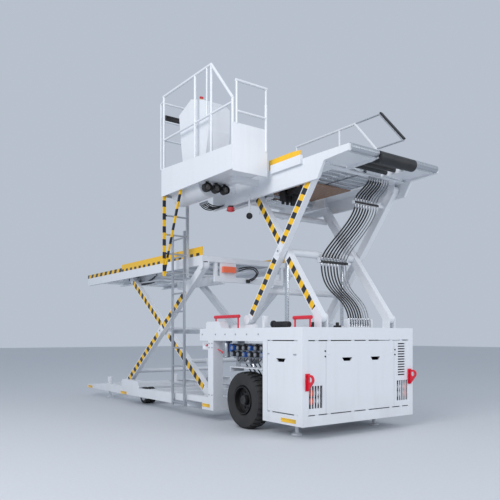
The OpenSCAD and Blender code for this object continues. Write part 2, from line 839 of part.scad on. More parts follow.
module bridge_leg_inner() {
    color(white) {
        sides() {
            plate_y(span(bridge_iy, bridge_leg_w)) difference() {
                leg_outline(bridge_a, bridge_d, bridge_leg_d, 62);
                hole(bridge_a, bridge_pin_r + pin_gap);
            }
            rod_y(bridge_d, [bridge_iy - bridge_leg_w / 2 - 50, bridge_iy], 60);
            rod_y(bridge_mid, [bridge_iy, bridge_oy + bridge_leg_w / 2], 35);
            rod_fork(bridge_mid, bridge_ram_pin, bridge_ram_y, clevis_gap, 16, 100, 30);
        }
        rod_y(bridge_mid, [-bridge_iy, bridge_iy], bridge_tube_r);
        rod_y(on_leg(bridge_a, bridge_d, 2100, -95), [-bridge_iy, bridge_iy], 45);
        // Clamp bar of the hoses under the crossing tube
        bx(span(hose_mid_x, 40), [-120, 520], [bridge_mid[1] - 115, bridge_mid[1] - 85]);
        for (y = [-120, 460])
            bx([bridge_mid[0], hose_mid_x], [y, y + 20], [bridge_mid[1] - 115, bridge_mid[1] - 40]);
    }
}

module bridge_leg_outer() {
    clamp = on_leg(bridge_b, bridge_c, 2100, 0);
    color(white) {
        sides() {
            plate_y(span(bridge_oy, bridge_leg_w)) difference() {
                leg_outline(bridge_b, bridge_c, bridge_leg_d, 55);
                hole(bridge_mid, 35 + pin_gap);
                hole(bridge_c, bridge_pin_r + pin_gap);
            }
            rod_y(bridge_b, [bridge_oy, bridge_oy + bridge_leg_w / 2 + 46], bridge_roll_r);
        }
        rod_y(on_leg(bridge_b, bridge_c, 525, 0), [-bridge_oy, bridge_oy], 45);
        // Upper clamp bar of the hoses, on the left leg
        bx(span(clamp[0], 40), [100, bridge_oy], span(clamp[1], 40));
    }
}

module bridge_barrels() {
    color(white) sides() ram_barrel(bridge_ram_base, bridge_ram_pin, bridge_ram_y, 1000, 55, 32, 42, 25);
}

module bridge_rods() {
    color(steel) sides() ram_rod(bridge_ram_base, bridge_ram_pin, bridge_ram_y, 1224, 32, 42, 58);
}

// Bridge

// Side web, shallow under the front tray
module bridge_web() {
    polygon([[bridge_bx[0], bridge_bz[0]], [bridge_step_x - 20, bridge_bz[0]],
        [bridge_step_x + 110, bridge_floor - tray_d], [bridge_reach + 20, bridge_floor - tray_d + 20],
        [bridge_reach + 20, bridge_floor - 12], [bridge_step_x, bridge_floor], [bridge_bx[0], bridge_floor]]);
}

// Arm between a roll and the belt, tapering to the front
module roll_arm() {
    polygon([[bridge_step_x - 20, bridge_top_z[0]], [bridge_step_x - 20, bridge_floor - 30],
        [bridge_reach + 20, bridge_floor - 30], [bridge_reach + 20, bridge_floor - 105],
        [bridge_reach - 90, bridge_floor - 120], [bridge_step_x, bridge_top_z[0]]]);
}

module bridge_frame() {
    inner = bridge_iy - bridge_leg_w / 2 - 100;
    track_in = bridge_iy - bridge_leg_w / 2 - 6;
    z = bridge_c[1];
    beams = 3;
    step = (bridge_step_x - beam_l - bridge_bx[0]) / beams;
    color(white) {
        sides() {
            plate_y(web_y) bridge_web();
            bx([bridge_bx[0], bridge_step_x], [inner, web_y[0]], bridge_top_z);
            bx(bridge_track_x, [inner, inner + 12], [z - 78, bridge_top_z[0]]);
            bx(bridge_track_x, [inner, track_in], [z - 78, z - 66]);
            y = bridge_oy - bridge_leg_w / 2 - 18;
            plate_y([y, y + 13]) lug(bridge_c, 60, bridge_top_z[0]);
            rod_y(bridge_c, [y, web_y[0]], bridge_pin_r);
            plate_y(roll_arm_y) roll_arm();
            // Front tray between the web and the arm
            bx([bridge_step_x, bridge_reach - roll_r - 15], [roll_arm_y[1], web_y[0]],
                [bridge_floor - tray_d + 30, bridge_floor - tray_d + 42]);
        }
        for (i = [0 : beams])
            bx([bridge_bx[0] + i * step, bridge_bx[0] + i * step + beam_l], [-inner, inner], bridge_top_z);
        // Casing outside the guide on the right
        bx(guide_x + [90, 50], [-bridge_hw - 42, -bridge_hw], [bridge_floor - 70, bridge_floor + 50]);
    }
}

module bridge_panels() {
    color([0.55, 0.38, 0.22]) bx(bridge_panel_x, [-bridge_panel_hw, bridge_panel_hw],
        [bridge_top_z[0] - 12, bridge_top_z[0]]);
}

module bridge_rollers() {
    carrier_y = [20, web_y[0] - 47];
    z = [bridge_top_z[1], bridge_floor - 12];
    color(steel) sides() {
        for (y = carrier_y) bx([bridge_bx[0] + 20, bridge_step_x - 5], [y, y + 12], z);
        for (x = [bridge_bx[0] + 70 : bridge_pitch : bridge_step_x - beam_l - 40])
            rod_y([x, bridge_floor - 32], [carrier_y[0], carrier_y[1] + 12], 32);
    }
}

module bridge_rolls() {
    color(steel) sides()
        rod_y([bridge_reach, bridge_floor - roll_r + 5], [roll_arm_y[1], web_y[0]], roll_r);
}

// Black front roll, with rubber rollers behind it
module bridge_belt() {
    y = [-roll_arm_y[0], roll_arm_y[0]];
    color(rubber) {
        rod_y([bridge_reach, bridge_floor - belt_r], y, belt_r);
        for (x = [bridge_step_x + 70 : 150 : bridge_reach - belt_r - 45]) rod_y([x, bridge_floor - 65], y, 34);
    }
}

module bridge_guide() {
    top = bridge_floor + guide_h;
    color(yellow) plate_y([-bridge_hw, -bridge_hw + 12]) polygon([[guide_x[0], bridge_floor], [guide_x[0], top],
        [guide_x[1] - 160, top], [guide_x[1], top - 15], [guide_x[1], bridge_floor]]);
}

// Where the slanted front bar of the rail or the guard is at the height z, from its top end x
function slant_x(x, z) = x + (rail_z[1] - z) / guard_slope;

module bridge_rail() {
    foot_z = bridge_floor - 20;
    corner = tube_r / 2;
    d = along([rail_x[1], rail_z[1]], [slant_x(rail_x[1], foot_z), foot_z]);
    color(white) difference() {
        union() {
            for (x = [rail_x[0] + tube_r, rail_x[0] + 1100])
                bar([x, rail_y, bridge_floor], [x, rail_y, rail_z[1]], tube_r - 2);
            for (z = rail_z) rod_x([rail_x[0], slant_x(rail_x[1], z)], rail_y, z, tube_r);
            bar([rail_x[1] - d[0] * corner, rail_y, rail_z[1] - d[1] * corner],
                [slant_x(rail_x[1], foot_z), rail_y, foot_z], tube_r + 1);
        }
        for (z = rail_z) rod_x([rail_x[0] + 60, 0], rail_y, z, guard_r + shaft_gap);
        bx([rail_x[0] - 50, bridge_reach], span(rail_y, 100), [bridge_floor - 60, bridge_floor]);
    }
}

// Guard that slides out of the rail's tubes
module rail_slider() {
    color(steel) {
        for (z = rail_z) rod_x([guard_x[0], slant_x(guard_x[1], z)], rail_y, z, guard_r);
        bar([guard_x[1] - 8, rail_y, rail_z[1] + 9.2],
            [slant_x(guard_x[1], rail_z[0]) + 8, rail_y, rail_z[0] - 9.2], guard_r + 1);
    }
}

// Soft strip along the guard's slanted front
module guard_bumper() {
    off = [guard_r + 1.3, guard_r + 25];
    a = [guard_x[1], rail_z[1]];
    b = [slant_x(guard_x[1], rail_z[0]), rail_z[0]];
    n = upward(along(b, a));
    color(rubber) plate_y(span(rail_y, 50))
        polygon([a + n * off[0], a + n * off[1], b + n * off[1], b + n * off[0]]);
}

// Operator platform

module operator_floor() {
    color(white) {
        bx([op_x[0], op_x[1] - 12], op_y, [op_floor - 40, op_floor]);
        plate_y([op_y[0], op_y[0] + 12]) polygon([[op_x[0], op_skirt_z[0]], [op_x[0], op_skirt_z[1]],
            [op_x[1], op_skirt_z[1] - skirt_fall], [op_x[1], op_skirt_z[0]]]);
        bx([op_x[0], op_x[0] + 12], op_y, [op_skirt_z[0], op_floor + 120]);
        bx([op_x[0], op_x[0] + 1000], [op_y[1] - 12, op_y[1]], [op_floor, op_floor + 120]);
        for (x = [op_x[0] + 1020, op_x[1] - 430])
            bx([x, x + 90], [op_y[1] - 300, -bridge_hw], [op_floor - 130, op_floor - 40]);
    }
}

module operator_rails() {
    seat = op_sheet + tube_r + 0.2;
    y = op_y[0] + seat;
    in_y = op_y[1] - 40;
    x = [op_x[0] + seat, op_apex_x, op_x[1] - seat];
    top = op_floor + op_rail_h;
    front_top = op_floor + 912;
    mid_z = op_floor + 850;
    // Rear cross bars: z above the floor
    cross_z = [op_floor + 1450, op_floor + 1160, mid_z];
    // Loop handle behind the rear post
    loop = [[x[0], top - 70], [x[0] - 100, top - 100], [x[0] - 100, op_skirt_z[1] + 20], [x[0], op_skirt_z[1] - 20]];
    color(white) {
        for (p = [[x[0], top], [op_apex_x - 450, top], [op_apex_x, top], [x[2], front_top]])
            bar([p[0], y, op_floor + 250], [p[0], y, p[1]], tube_r - 1);
        bar([x[0] - tube_r, y, top], [x[1] + 6, y, top], tube_r);
        bar([x[1], y, top], [x[2] + 8, y, front_top - 9], tube_r + 1);
        bar([x[0], y, mid_z], [x[2], y, mid_z], tube_r - 3);
        bar([op_apex_x - 120, y, mid_z], [op_apex_x - 120, y, top], tube_r - 6);
        for (z = cross_z) bar([x[0], y, z], [x[0], in_y, z], tube_r - 4);
        bar([x[0], in_y, op_floor], [x[0], in_y, cross_z[0]], tube_r - 2);
        for (i = [0, 2]) bar([loop[i][0], y, loop[i][1]], [loop[i + 1][0], y, loop[i + 1][1]], tube_r - 6);
        bar([loop[2][0], y, loop[2][1] - 14], [loop[1][0], y, loop[1][1] + 14], tube_r - 5);
    }
}

module operator_shield() {
    x = op_x[1] - 6;
    y = [op_y[0] + 80, op_y[1] + 5];
    post_top = op_floor + 920;
    frame_top = op_floor + 1150;
    color(white) {
        bx([op_x[1] - 12, op_x[1]], [op_y[0] + 12, op_y[1] + 25], [op_skirt_z[0] - 20, op_floor + 570]);
        bar([x, y[1], op_floor + 260], [x, y[1], post_top], tube_r);
        bar([x, y[0], op_floor + 560], [x, y[0], post_top], tube_r - 5);
        bar([x, y[0], op_floor + 730], [x, y[1], op_floor + 730], tube_r - 2);
        for (p = y) bar([x, p, post_top], [x, p, frame_top], tube_r - 5);
        bar([x, y[0] - 15, frame_top], [x, y[1] + 15, frame_top], tube_r);
    }
}

// Pedestal that widens to its sloping top, outline from the floor: x, z
module operator_console() {
    x = op_x[0];
    outline = [[580, 0], [1120, 0], [1260, 700], [1260, 1060], [1120, 1180], [760, 1300], [390, 1160], [450, 700]];
    color(white) plate_y([op_y[0] + 110, op_y[1] - 90])
        polygon([for (p = outline) [x + p[0], op_floor + p[1]]]);
}

// Half-round tray under the floor
module operator_tray() {
    tray_r = 185;
    y = mid(op_y[0], op_y[1]);
    z = op_floor - 40;
    color(white) difference() {
        rod_x([op_x[0] + 150, op_x[0] + 1000], y, z, tray_r);
        bx([op_x[0], op_x[1]], [y - 2 * tray_r, y + 2 * tray_r], [z, z + 2 * tray_r]);
    }
}

// Ladders

module ladder(x, y, z, along_x) {
    count = floor((z[1] - z[0] - 60) / rung_pitch);
    if (along_x) {
        for (s = x) bx(span(s, 50), span(y, 25), z);
        for (i = [0 : count])
            rod_x(x, y, z[0] + 60 + i * rung_pitch, 14);
    } else {
        for (s = y) bx(span(x, 25), span(s, 50), z);
        for (i = [0 : count])
            rod_y([x, z[0] + 60 + i * rung_pitch], y, 14);
    }
}

module ladder_lower() {
    x = [ladder_x[0] + 25, ladder_x[1] - 25];
    y = -hw - 40;
    arm_z = [side_beam_z[0] + 115, side_beam_z[0] + 180];
    color(steel) {
        ladder(x, y, [170, 3130], true);
        bx(ladder_x, [y + 12, -hw], [200, 260]);
        bx([ladder_x[0], column_x[0] - beam_tail], [-hw + 8, -hw + 60], arm_z);
        for (s = x) bx(span(s, 50), [y + 12, -hw + 8], arm_z);
    }
}

module ladder_upper() {
    x = op_x[0] + 30;
    y = [op_y[0] + 37, op_y[1] - 110];
    z = [bridge_c[1] - 1190, op_floor - 40];
    color(steel) {
        ladder(x, y, z, false);
        // Brace from the outer stile to the floor
        plate_y(span(y[0], 30)) polygon([[x - 12, z[0] + 40], [x + 12, z[0] + 40], [x + 570, z[1]], [x + 530, z[1]]]);
    }
}

// Red bars that prop the lifts during service, stowed on posts

module safety_props() {
    color(red) {
        for (p = props) {
            rod_x(p[0], p[1], p[2], prop_r);
            for (i = [0, 1]) rod_z(p[0][i] + (i == 0 ? 25 : -25), p[1], [p[3][i], p[2]], 12);
        }
    }
}

// Ends along x, y, z of the axis, z of the seats under the two posts
props = [[[-2170, -1510], -hw + 70, module_top + 180, [module_top + hump_h, module_top]],
    [[-370, -20], -hw + 170, module_top + 130, [module_top, module_top]]];
prop_r = 26;

// Hoses of the bridge lift, each swept along a Bezier curve with n + 1 rings of eight sides

hose_r = 11;
hose_count = 9;
hose_sides = 8;
hose_rings = 9;

function bezier(p, t) = pow(1 - t, 3) * p[0] + 3 * t * pow(1 - t, 2) * p[1]
    + 3 * t * t * (1 - t) * p[2] + pow(t, 3) * p[3];
function bezier_dir(p, t) = let (d = pow(1 - t, 2) * (p[1] - p[0]) + 2 * t * (1 - t) * (p[2] - p[1])
    + t * t * (p[3] - p[2])) d / norm(d);

module sweep(p) {
    n = hose_rings;
    m = hose_sides;
    points = [for (i = [0 : n]) let (t = i / n, c = bezier(p, t), d = bezier_dir(p, t),
        u0 = cross(d, [0, 1, 0]), u = u0 / norm(u0), v = cross(d, u))
        for (j = [0 : m - 1]) c + hose_r * (cos(j * 360 / m) * u + sin(j * 360 / m) * v)];
    faces = concat(
        [[for (j = [0 : m - 1]) j]],
        [for (i = [0 : n - 1]) for (j = [0 : m - 1])
            [i * m + j, (i + 1) * m + j, (i + 1) * m + (j + 1) % m, i * m + (j + 1) % m]],
        [[for (j = [m - 1 : -1 : 0]) n * m + j]]);
    polyhedron(points, faces, convexity = 4);
}

hose_low_y = [60, 470];
hose_mid_y = [-80, 430];
hose_top_y = [150, 600];
hose_end_y = [140, 540];
function hose_y(row, i) = row[0] + i * (row[1] - row[0]) / (hose_count - 1);

hose_clamp = on_leg(bridge_b, bridge_c, 2100, 0);
hose_mid_x = bridge_mid[0] + bridge_tube_r + 20;
hose_foot_x = -300;
hose_end_x = 10;

module hose_low() {
    color(rubber) for (i = [0 : hose_count - 1])
        sweep([[hose_foot_x, hose_y(hose_low_y, i), module_top],
            [hose_foot_x, hose_y(hose_low_y, i), module_top + 560],
            [hose_mid_x, hose_y(hose_mid_y, i), bridge_mid[1] - 700],
            [hose_mid_x, hose_y(hose_mid_y, i), bridge_mid[1] - 115]]);
}

module hose_mid() {
    color(rubber) for (i = [0 : hose_count - 1])
        sweep([[hose_mid_x, hose_y(hose_mid_y, i), bridge_mid[1] - 85],
            [hose_mid_x, hose_y(hose_mid_y, i), bridge_mid[1] + 350],
            [hose_clamp[0], hose_y(hose_top_y, i), hose_clamp[1] - 320],
            [hose_clamp[0], hose_y(hose_top_y, i), hose_clamp[1] - 20]]);
}

module hose_top() {
    color(rubber) for (i = [0 : hose_count - 1])
        sweep([[hose_clamp[0], hose_y(hose_top_y, i), hose_clamp[1] + 20],
            [hose_clamp[0], hose_y(hose_top_y, i), hose_clamp[1] + 150],
            [hose_end_x, hose_y(hose_end_y, i), bridge_top_z[0] - 150],
            [hose_end_x, hose_y(hose_end_y, i), bridge_top_z[0]]]);
}

// The origin is the middle of the overall box, on the ground
module place() {
    translate([-mid(-platform_back, x_front), -mid(op_y[0], hw), 0]) children();
}

place() rear_frame();
place() front_frame();
place() module_frame();
place() front_panel();
place() lamp_panel();
place() louvre_panel();
place() side_panels();
place() front_lamps();
place() tow_hooks();
place() engine_block();
place() valve_block();
place() mudguards();
place() front_axle();
place() knuckle_r();
place() knuckle_l();
place() front_tyre_r();
place() front_rim_r();
place() front_tyre_l();
place() front_rim_l();
place() rear_axle();
place() rear_tyres_r();
place() rear_rims_r();
place() rear_tyres_l();
place() rear_rims_l();
place() jack_fr();
place() jack_fl();
place() jack_rr();
place() jack_rl();
place() main_leg_inner();
place() main_leg_outer();
place() main_barrels();
place() main_rods();
place() main_frame();
place() main_rollers();
place() main_guides();
place() bridge_leg_inner();
place() bridge_leg_outer();
place() bridge_barrels();
place() bridge_rods();
place() bridge_frame();
place() bridge_panels();
place() bridge_rollers();
place() bridge_rolls();
place() bridge_belt();
place() bridge_guide();
place() bridge_rail();
place() rail_slider();
place() guard_bumper();
place() operator_floor();
place() operator_rails();
place() operator_shield();
place() operator_console();
place() operator_tray();
place() ladder_lower();
place() ladder_upper();
place() hose_low();
place() hose_mid();
place() hose_top();
place() safety_props();
place() main_lamp();
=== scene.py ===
# %% [markdown]
# # Aircraft cargo loader, dressed
# The solids of the loader come in as a fixed frame: two scissor lifts, a roller platform at the
# back, a bridge with an operator platform at the front, on four wheels.
# This lesson gives each solid its finish and adds the small things that the solids leave out:
# hoses, tread, wheel nuts, lamps, coils, bolts and reflectors.

# %% Load the frame
import json
import math

import bpy
from mathutils import Matrix, Vector

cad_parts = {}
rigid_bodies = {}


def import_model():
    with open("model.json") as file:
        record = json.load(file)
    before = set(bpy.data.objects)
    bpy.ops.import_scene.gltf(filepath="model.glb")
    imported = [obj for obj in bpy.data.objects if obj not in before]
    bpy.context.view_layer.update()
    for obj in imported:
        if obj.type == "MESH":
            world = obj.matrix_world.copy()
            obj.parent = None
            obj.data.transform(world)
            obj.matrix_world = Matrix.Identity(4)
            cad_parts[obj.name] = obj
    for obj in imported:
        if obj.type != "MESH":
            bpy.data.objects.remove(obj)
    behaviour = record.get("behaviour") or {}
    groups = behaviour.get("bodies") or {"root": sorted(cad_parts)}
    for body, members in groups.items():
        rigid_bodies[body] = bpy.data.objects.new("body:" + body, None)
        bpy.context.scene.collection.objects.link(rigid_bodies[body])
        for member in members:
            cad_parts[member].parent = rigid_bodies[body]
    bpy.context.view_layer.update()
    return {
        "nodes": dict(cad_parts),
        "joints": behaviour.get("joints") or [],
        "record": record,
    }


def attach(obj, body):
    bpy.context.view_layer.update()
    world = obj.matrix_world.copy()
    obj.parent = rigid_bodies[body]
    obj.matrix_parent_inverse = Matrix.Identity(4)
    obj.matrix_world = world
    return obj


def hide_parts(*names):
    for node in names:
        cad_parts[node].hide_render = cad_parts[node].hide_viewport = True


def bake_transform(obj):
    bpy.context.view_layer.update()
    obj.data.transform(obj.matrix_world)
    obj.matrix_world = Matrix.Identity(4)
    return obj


for old in list(bpy.data.objects):
    bpy.data.objects.remove(old)
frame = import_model()
nodes = frame["nodes"]
slot_of = {part["node"]: part["material_slot"] for part in frame["record"]["subparts"]}

# %% [markdown]
# The drawing was measured from the front face of the power module, in millimetres: x towards the
# aircraft, y to the left, z up. The rear lift's front pivot stands at a known place in that
# drawing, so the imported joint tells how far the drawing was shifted, and at() turns a measured
# place into a place in the scene.

# %% Places on the machine
DRAWN_PIVOT = Vector((-2.66, 0.0, 0.40))
packed_pivot = next(joint for joint in frame["joints"] if joint["name"] == "main_lift")["pos_m"]
ORIGIN = Vector(packed_pivot) - DRAWN_PIVOT
HALF_WIDTH = 1100  # outer faces of the chassis
AXLE_X, AXLE_Z = -1340, 420  # front axle
ROOF_Z = 1480  # top of the power module
BRIDGE_UNDER_Z = 3596  # where the fittings under the bridge hang
PLATFORM_REAR, DECK_Z = -7700, 2700  # rear end and deck of the rear platform


def at(x, y, z):
    return ORIGIN + Vector((x, y, z)) / 1000


print("drawing starts at", tuple(round(c, 4) for c in ORIGIN))

# %% [markdown]
# The photograph was taken from low down near the right front corner. The camera stays level, so
# upright posts stay upright, and the lens shift lifts the frame to take in the handrails.

# %% Camera
eye = ORIGIN + Vector((5.688, -6.115, 1.366))
look = Vector((-0.806, 0.592, 0.0))
bpy.ops.object.camera_add(location=eye)
camera = bpy.context.object
camera.rotation_euler = look.to_track_quat("-Z", "Y").to_euler()
camera.data.lens = 42.37
camera.data.sensor_width = 36
camera.data.shift_y = 0.1716
camera.data.clip_end = 200
bpy.context.scene.camera = camera
print("camera at", tuple(round(c, 3) for c in eye))

# %% [markdown]
# Materials are little sums: paint plus dust, rubber plus scuffs. A Tone wraps a socket so that a
# sum can be written as Python, and each operator adds one Math node. Anything else comes from the
# node() method of a Finish, which takes a node's kind, its settings and its inputs.

# %% Shader sums


class Tone:
    def __init__(self, finish, socket):
        self.finish = finish
        self.socket = socket

    def sum(self, operation, other, swapped=False):
        values = [other, self] if swapped else [self, other]
        return self.finish.node("ShaderNodeMath", {"operation": operation}, dict(enumerate(values)))

    def __add__(self, other):
        return self.sum("ADD", other)

    def __sub__(self, other):
        return self.sum("SUBTRACT", other)

    def __rsub__(self, other):
        return self.sum("SUBTRACT", other, True)

    def __mul__(self, other):
        return self.sum("MULTIPLY", other)

    def __gt__(self, other):
        return self.sum("GREATER_THAN", other)

    def __lt__(self, other):
        return self.sum("LESS_THAN", other)

    def __abs__(self):
        return self.sum("ABSOLUTE", 0.0)

    def wrap(self, period):
        return self.sum("FLOORED_MODULO", period)

    def clamp(self):
        return self.finish.node("ShaderNodeClamp", {}, {"Value": self})


class Finish:
    def __init__(self, name):
        self.material = bpy.data.materials.new(name)
        self.material.use_nodes = True
        self.tree = self.material.node_tree
        self.shader = self.tree.nodes["Principled BSDF"]
        self.place = self.node("ShaderNodeTexCoord", {}, {}, "Object")

    def node(self, kind, settings, inputs, output=0):
        made = self.tree.nodes.new(kind)
        for name, value in settings.items():
            setattr(made, name, value)
        for name, value in inputs.items():
            self.link(made.inputs[name], value)
        return Tone(self, made.outputs[output])

    def link(self, socket, value):
        if isinstance(value, Tone):
            self.tree.links.new(value.socket, socket)
        else:
            socket.default_value = value

    def shade(self, **values):
        for name, value in values.items():
            self.link(self.shader.inputs[name.replace("_", " ").title()], value)
        return self.material

    def split(self, vector):
        parts = self.tree.nodes.new("ShaderNodeSeparateXYZ")
        self.link(parts.inputs[0], vector)
        return [Tone(self, socket) for socket in parts.outputs]

    def axes(self):
        return self.split(self.place)

    def noise(self, scale, detail=3.0, stretch=(1, 1, 1)):
        spot = self.place
        if stretch != (1, 1, 1):
            spot = self.node("ShaderNodeMapping", {}, {"Vector": self.place, "Scale": stretch})
        inputs = {"Vector": spot, "Scale": scale, "Detail": detail}
        return self.node("ShaderNodeTexNoise", {}, inputs, "Fac")

    def blend(self, share, low, high):
        return self.node("ShaderNodeMix", {"data_type": "RGBA"}, {0: share, 6: low, 7: high}, 2)

    def bump(self, height, strength, reach):
        inputs = {"Height": height, "Strength": strength, "Distance": reach}
        return self.node("ShaderNodeBump", {}, inputs)

    def orange_peel(self):
        return self.bump(self.noise(170.0, 2.0), 0.06, 0.002)

    def facing(self, axis):
        normal = self.node("ShaderNodeNewGeometry", {}, {}, "Normal")
        return abs(self.split(normal)["XYZ".index(axis)])


print("shader tools ready")

# %% [markdown]
# The machine is sprayed white all over. Sprayed paint has a faint orange-peel skin, a little
# unevenness from panel to panel, and near the ground a film of road dust that settles in patches.
# All of that is one function, so the yellow and red paints age in the same way.

# %% Paint finishes
WHITE = (0.80, 0.82, 0.855, 1)
YELLOW = (0.96, 0.545, 0.004, 1)
BLACK = (0.016, 0.018, 0.024, 1)
RED = (0.72, 0.008, 0.032, 1)
DUST = (0.36, 0.34, 0.31, 1)
DUST_TOP = 0.62  # metres above the ground


def weathered(finish, colour):
    z = finish.axes()[2]
    patches = finish.noise(2.3, 4.0)
    streaks = finish.noise(9.0, 3.0, (1, 1, 0.12))
    low = ((DUST_TOP - z) * 1.5).clamp() * (patches * 2 - 0.62).clamp()
    worn = (streaks * 1.6 - 0.86).clamp() * 0.16
    film = (low * 0.38 + worn).clamp()
    return finish.blend(film, colour, DUST), film


def paint(name, colour, gloss=0.3):
    finish = Finish(name)
    tone, film = weathered(finish, colour)
    return finish.shade(
        base_color=tone,
        roughness=finish.noise(1.7, 2.0) * 0.14 + gloss + film * 0.5,
        normal=finish.orange_peel(),
        coat_weight=0.25,
        coat_roughness=0.12,
    )


white_paint = paint("sprayed_white", WHITE)
yellow_paint = paint("sprayed_yellow", YELLOW)
red_paint = paint("sprayed_red", RED, 0.26)
print("paints", [m.name for m in (white_paint, yellow_paint, red_paint)])

# %% [markdown]
# The outer faces of the lift legs carry yellow and black warning bars with a thin white margin.
# The bars follow the leg, so the pattern needs two numbers at each point: the distance along the
# leg and the distance from its middle line. Both are sums of the Object coordinates.

# %% Striped legs
MARGIN, FACE_DEPTH, LEG_PERIOD = 0.014, 0.003, 0.18  # metres


def bars(finish, along, period, slant=0.0):
    return finish.blend((along + slant).wrap(period) > period / 2, YELLOW, BLACK)


def striped_leg(name, low, high, half_depth, face_y, ends, gap):
    finish = Finish(name)
    x, y, z = finish.axes()
    a, b = at(low[0], 0, low[1]), at(high[0], 0, high[1])
    d = (b - a).normalized()
    along = (x - a.x) * d.x + (z - a.z) * d.z
    across = (z - a.z) * d.x - (x - a.x) * d.z
    length = (b - a).length
    on_face = (abs(y - ORIGIN.y) > face_y / 1000 - FACE_DEPTH) * (finish.facing("Y") > 0.9)
    on_band = abs(across) < half_depth / 1000 - MARGIN
    in_run = (along > ends[0]) * (along < length - ends[1]) * (abs(along - length / 2) > gap)
    tone, film = weathered(finish, WHITE)
    aged = finish.blend(film * 0.6, bars(finish, along, LEG_PERIOD, across * 0.25), DUST)
    return finish.shade(
        base_color=finish.blend(on_face * on_band * in_run, tone, aged),
        roughness=finish.noise(1.9, 2.0) * 0.16 + 0.3 + film * 0.4,
        normal=finish.orange_peel(),
        coat_weight=0.2,
    )


# Solid, finish, lower and upper end, half depth, outer face, bare ends, half of the bare middle
LEGS = (
    ("main_leg_outer", "rear_outer_leg", (-5620, 400), (-2660, 2530), 65, 975, (0.12, 0.66), 0.11),
    ("main_leg_inner", "rear_inner_leg", (-2660, 400), (-5620, 2530), 65, 865, (0.16, 0.10), 0.14),
    ("bridge_leg_outer", "bridge_outer_leg", (-1520, 1610), (-100, 3530), 60, 840, (0.09, 0.13), 0.13),
    ("bridge_leg_inner", "bridge_inner_leg", (-100, 1610), (-1520, 3530), 60, 730, (0.16, 0.10), 0.13),
)
leg_finishes = {solid: striped_leg(*row) for solid, *row in LEGS}
print("striped legs", sorted(leg_finishes))

# %% [markdown]
# The side guides of the rear platform are barred at the back and plain yellow towards the front,
# with a row of small black squares along the lower edge. The upper ladder has barred stiles.

# %% Barred guides and ladder
BARRED_RUN, SQUARE, GUIDE_PERIOD = 1.9, 0.1, 0.26  # metres
STILE_Y, STILE_TOP = -1520, 3640


def guide_finish():
    finish = Finish("platform_guide")
    x, _, z = finish.axes()
    run = x - at(PLATFORM_REAR, 0, 0).x
    height = z - at(0, 0, DECK_Z).z
    squares = (run.wrap(SQUARE * 2) > SQUARE) * (height < SQUARE / 2)
    front = finish.blend(squares, YELLOW, BLACK)
    tone = finish.blend(run < BARRED_RUN, front, bars(finish, run, GUIDE_PERIOD, z * -0.6))
    scuffs = (finish.noise(14.0, 5.0, (1, 1, 3)) * 2.2 - 1.35).clamp()
    return finish.shade(
        base_color=finish.blend(scuffs * 0.5, tone, DUST),
        roughness=scuffs * 0.3 + 0.34,
        normal=finish.orange_peel(),
        coat_weight=0.2,
    )


def galvanised(name, striped=False, shine=0.34):
    finish = Finish(name)
    grain = finish.noise(60.0, 4.0, (1, 1, 0.15))
    spangle = finish.node("ShaderNodeTexVoronoi", {}, {"Vector": finish.place, "Scale": 90.0}, "Distance")
    zinc = finish.blend(grain, (0.43, 0.455, 0.49, 1), (0.62, 0.645, 0.68, 1))
    tone, metal = zinc, 0.85
    if striped:
        _, y, z = finish.axes()
        outer = (y < at(0, STILE_Y, 0).y) * (z < at(0, 0, STILE_TOP).z)
        tone = finish.blend(outer, zinc, bars(finish, z, 0.21))
        metal = (1 - outer) * 0.85
    return finish.shade(
        base_color=tone,
        metallic=metal,
        roughness=grain * 0.2 + shine,
        normal=finish.bump(spangle, 0.08, 0.002),
    )


guide_bars = guide_finish()
zinc_steel = galvanised("galvanised_steel")
ladder_bars = galvanised("barred_ladder", True)
roller_steel = galvanised("polished_roller", False, 0.2)
print("guides and ladders finished")

# %% [markdown]
# Rubber, chrome, plywood and plastics each need their own grain: tyres have a brown bloom and a
# fine pebble, chromed rods are nearly mirrors with faint drag lines, and coated plywood shows the
# grain of its face ply through the brown film.

# %% Rubber, metal and wood


def rubber(name, colour, rough, grain):
    finish = Finish(name)
    bloom = finish.noise(5.0, 4.0)
    pebble = finish.noise(grain, 3.0)
    return finish.shade(
        base_color=finish.blend((bloom * 1.6 - 0.6).clamp() * 0.5, colour, (0.075, 0.07, 0.064, 1)),
        roughness=bloom * 0.2 + rough,
        normal=finish.bump(pebble, 0.25, 0.002),
    )


def metal(name, dark, light, rough, amount=1.0):
    finish = Finish(name)
    drag = finish.noise(120.0, 2.0, (1, 0.04, 1))
    return finish.shade(
        base_color=finish.blend(drag, dark, light),
        metallic=amount,
        roughness=drag * 0.14 + rough,
        normal=finish.bump(drag, 0.05, 0.001),
    )


def plywood(name):
    finish = Finish(name)
    wave = finish.node(
        "ShaderNodeTexWave",
        {"wave_type": "BANDS", "bands_direction": "Y"},
        {"Vector": finish.place, "Scale": 5.0, "Distortion": 9.0, "Detail": 3.0, "Detail Scale": 1.5},
        "Fac",
    )
    grain = finish.noise(40.0, 4.0, (0.08, 1, 1))
    return finish.shade(
        base_color=finish.blend(wave * 0.5 + grain * 0.5, (0.19, 0.095, 0.055, 1), (0.42, 0.255, 0.165, 1)),
        roughness=grain * 0.25 + 0.35,
        normal=finish.bump(grain, 0.15, 0.002),
    )


def lens(name, colour, glow):
    finish = Finish(name)
    ribs = finish.node(
        "ShaderNodeTexWave",
        {"wave_type": "BANDS", "bands_direction": "Z"},
        {"Vector": finish.place, "Scale": 28.0},
        "Fac",
    )
    return finish.shade(
        base_color=finish.blend(ribs * 0.14, colour, (1, 0.9, 0.75, 1)),
        emission_color=finish.blend(ribs * 0.14, colour, (1, 0.6, 0.2, 1)),
        emission_strength=glow,
        roughness=ribs * 0.1 + 0.08,
        normal=finish.bump(ribs, 0.3, 0.003),
        coat_weight=0.35,
    )


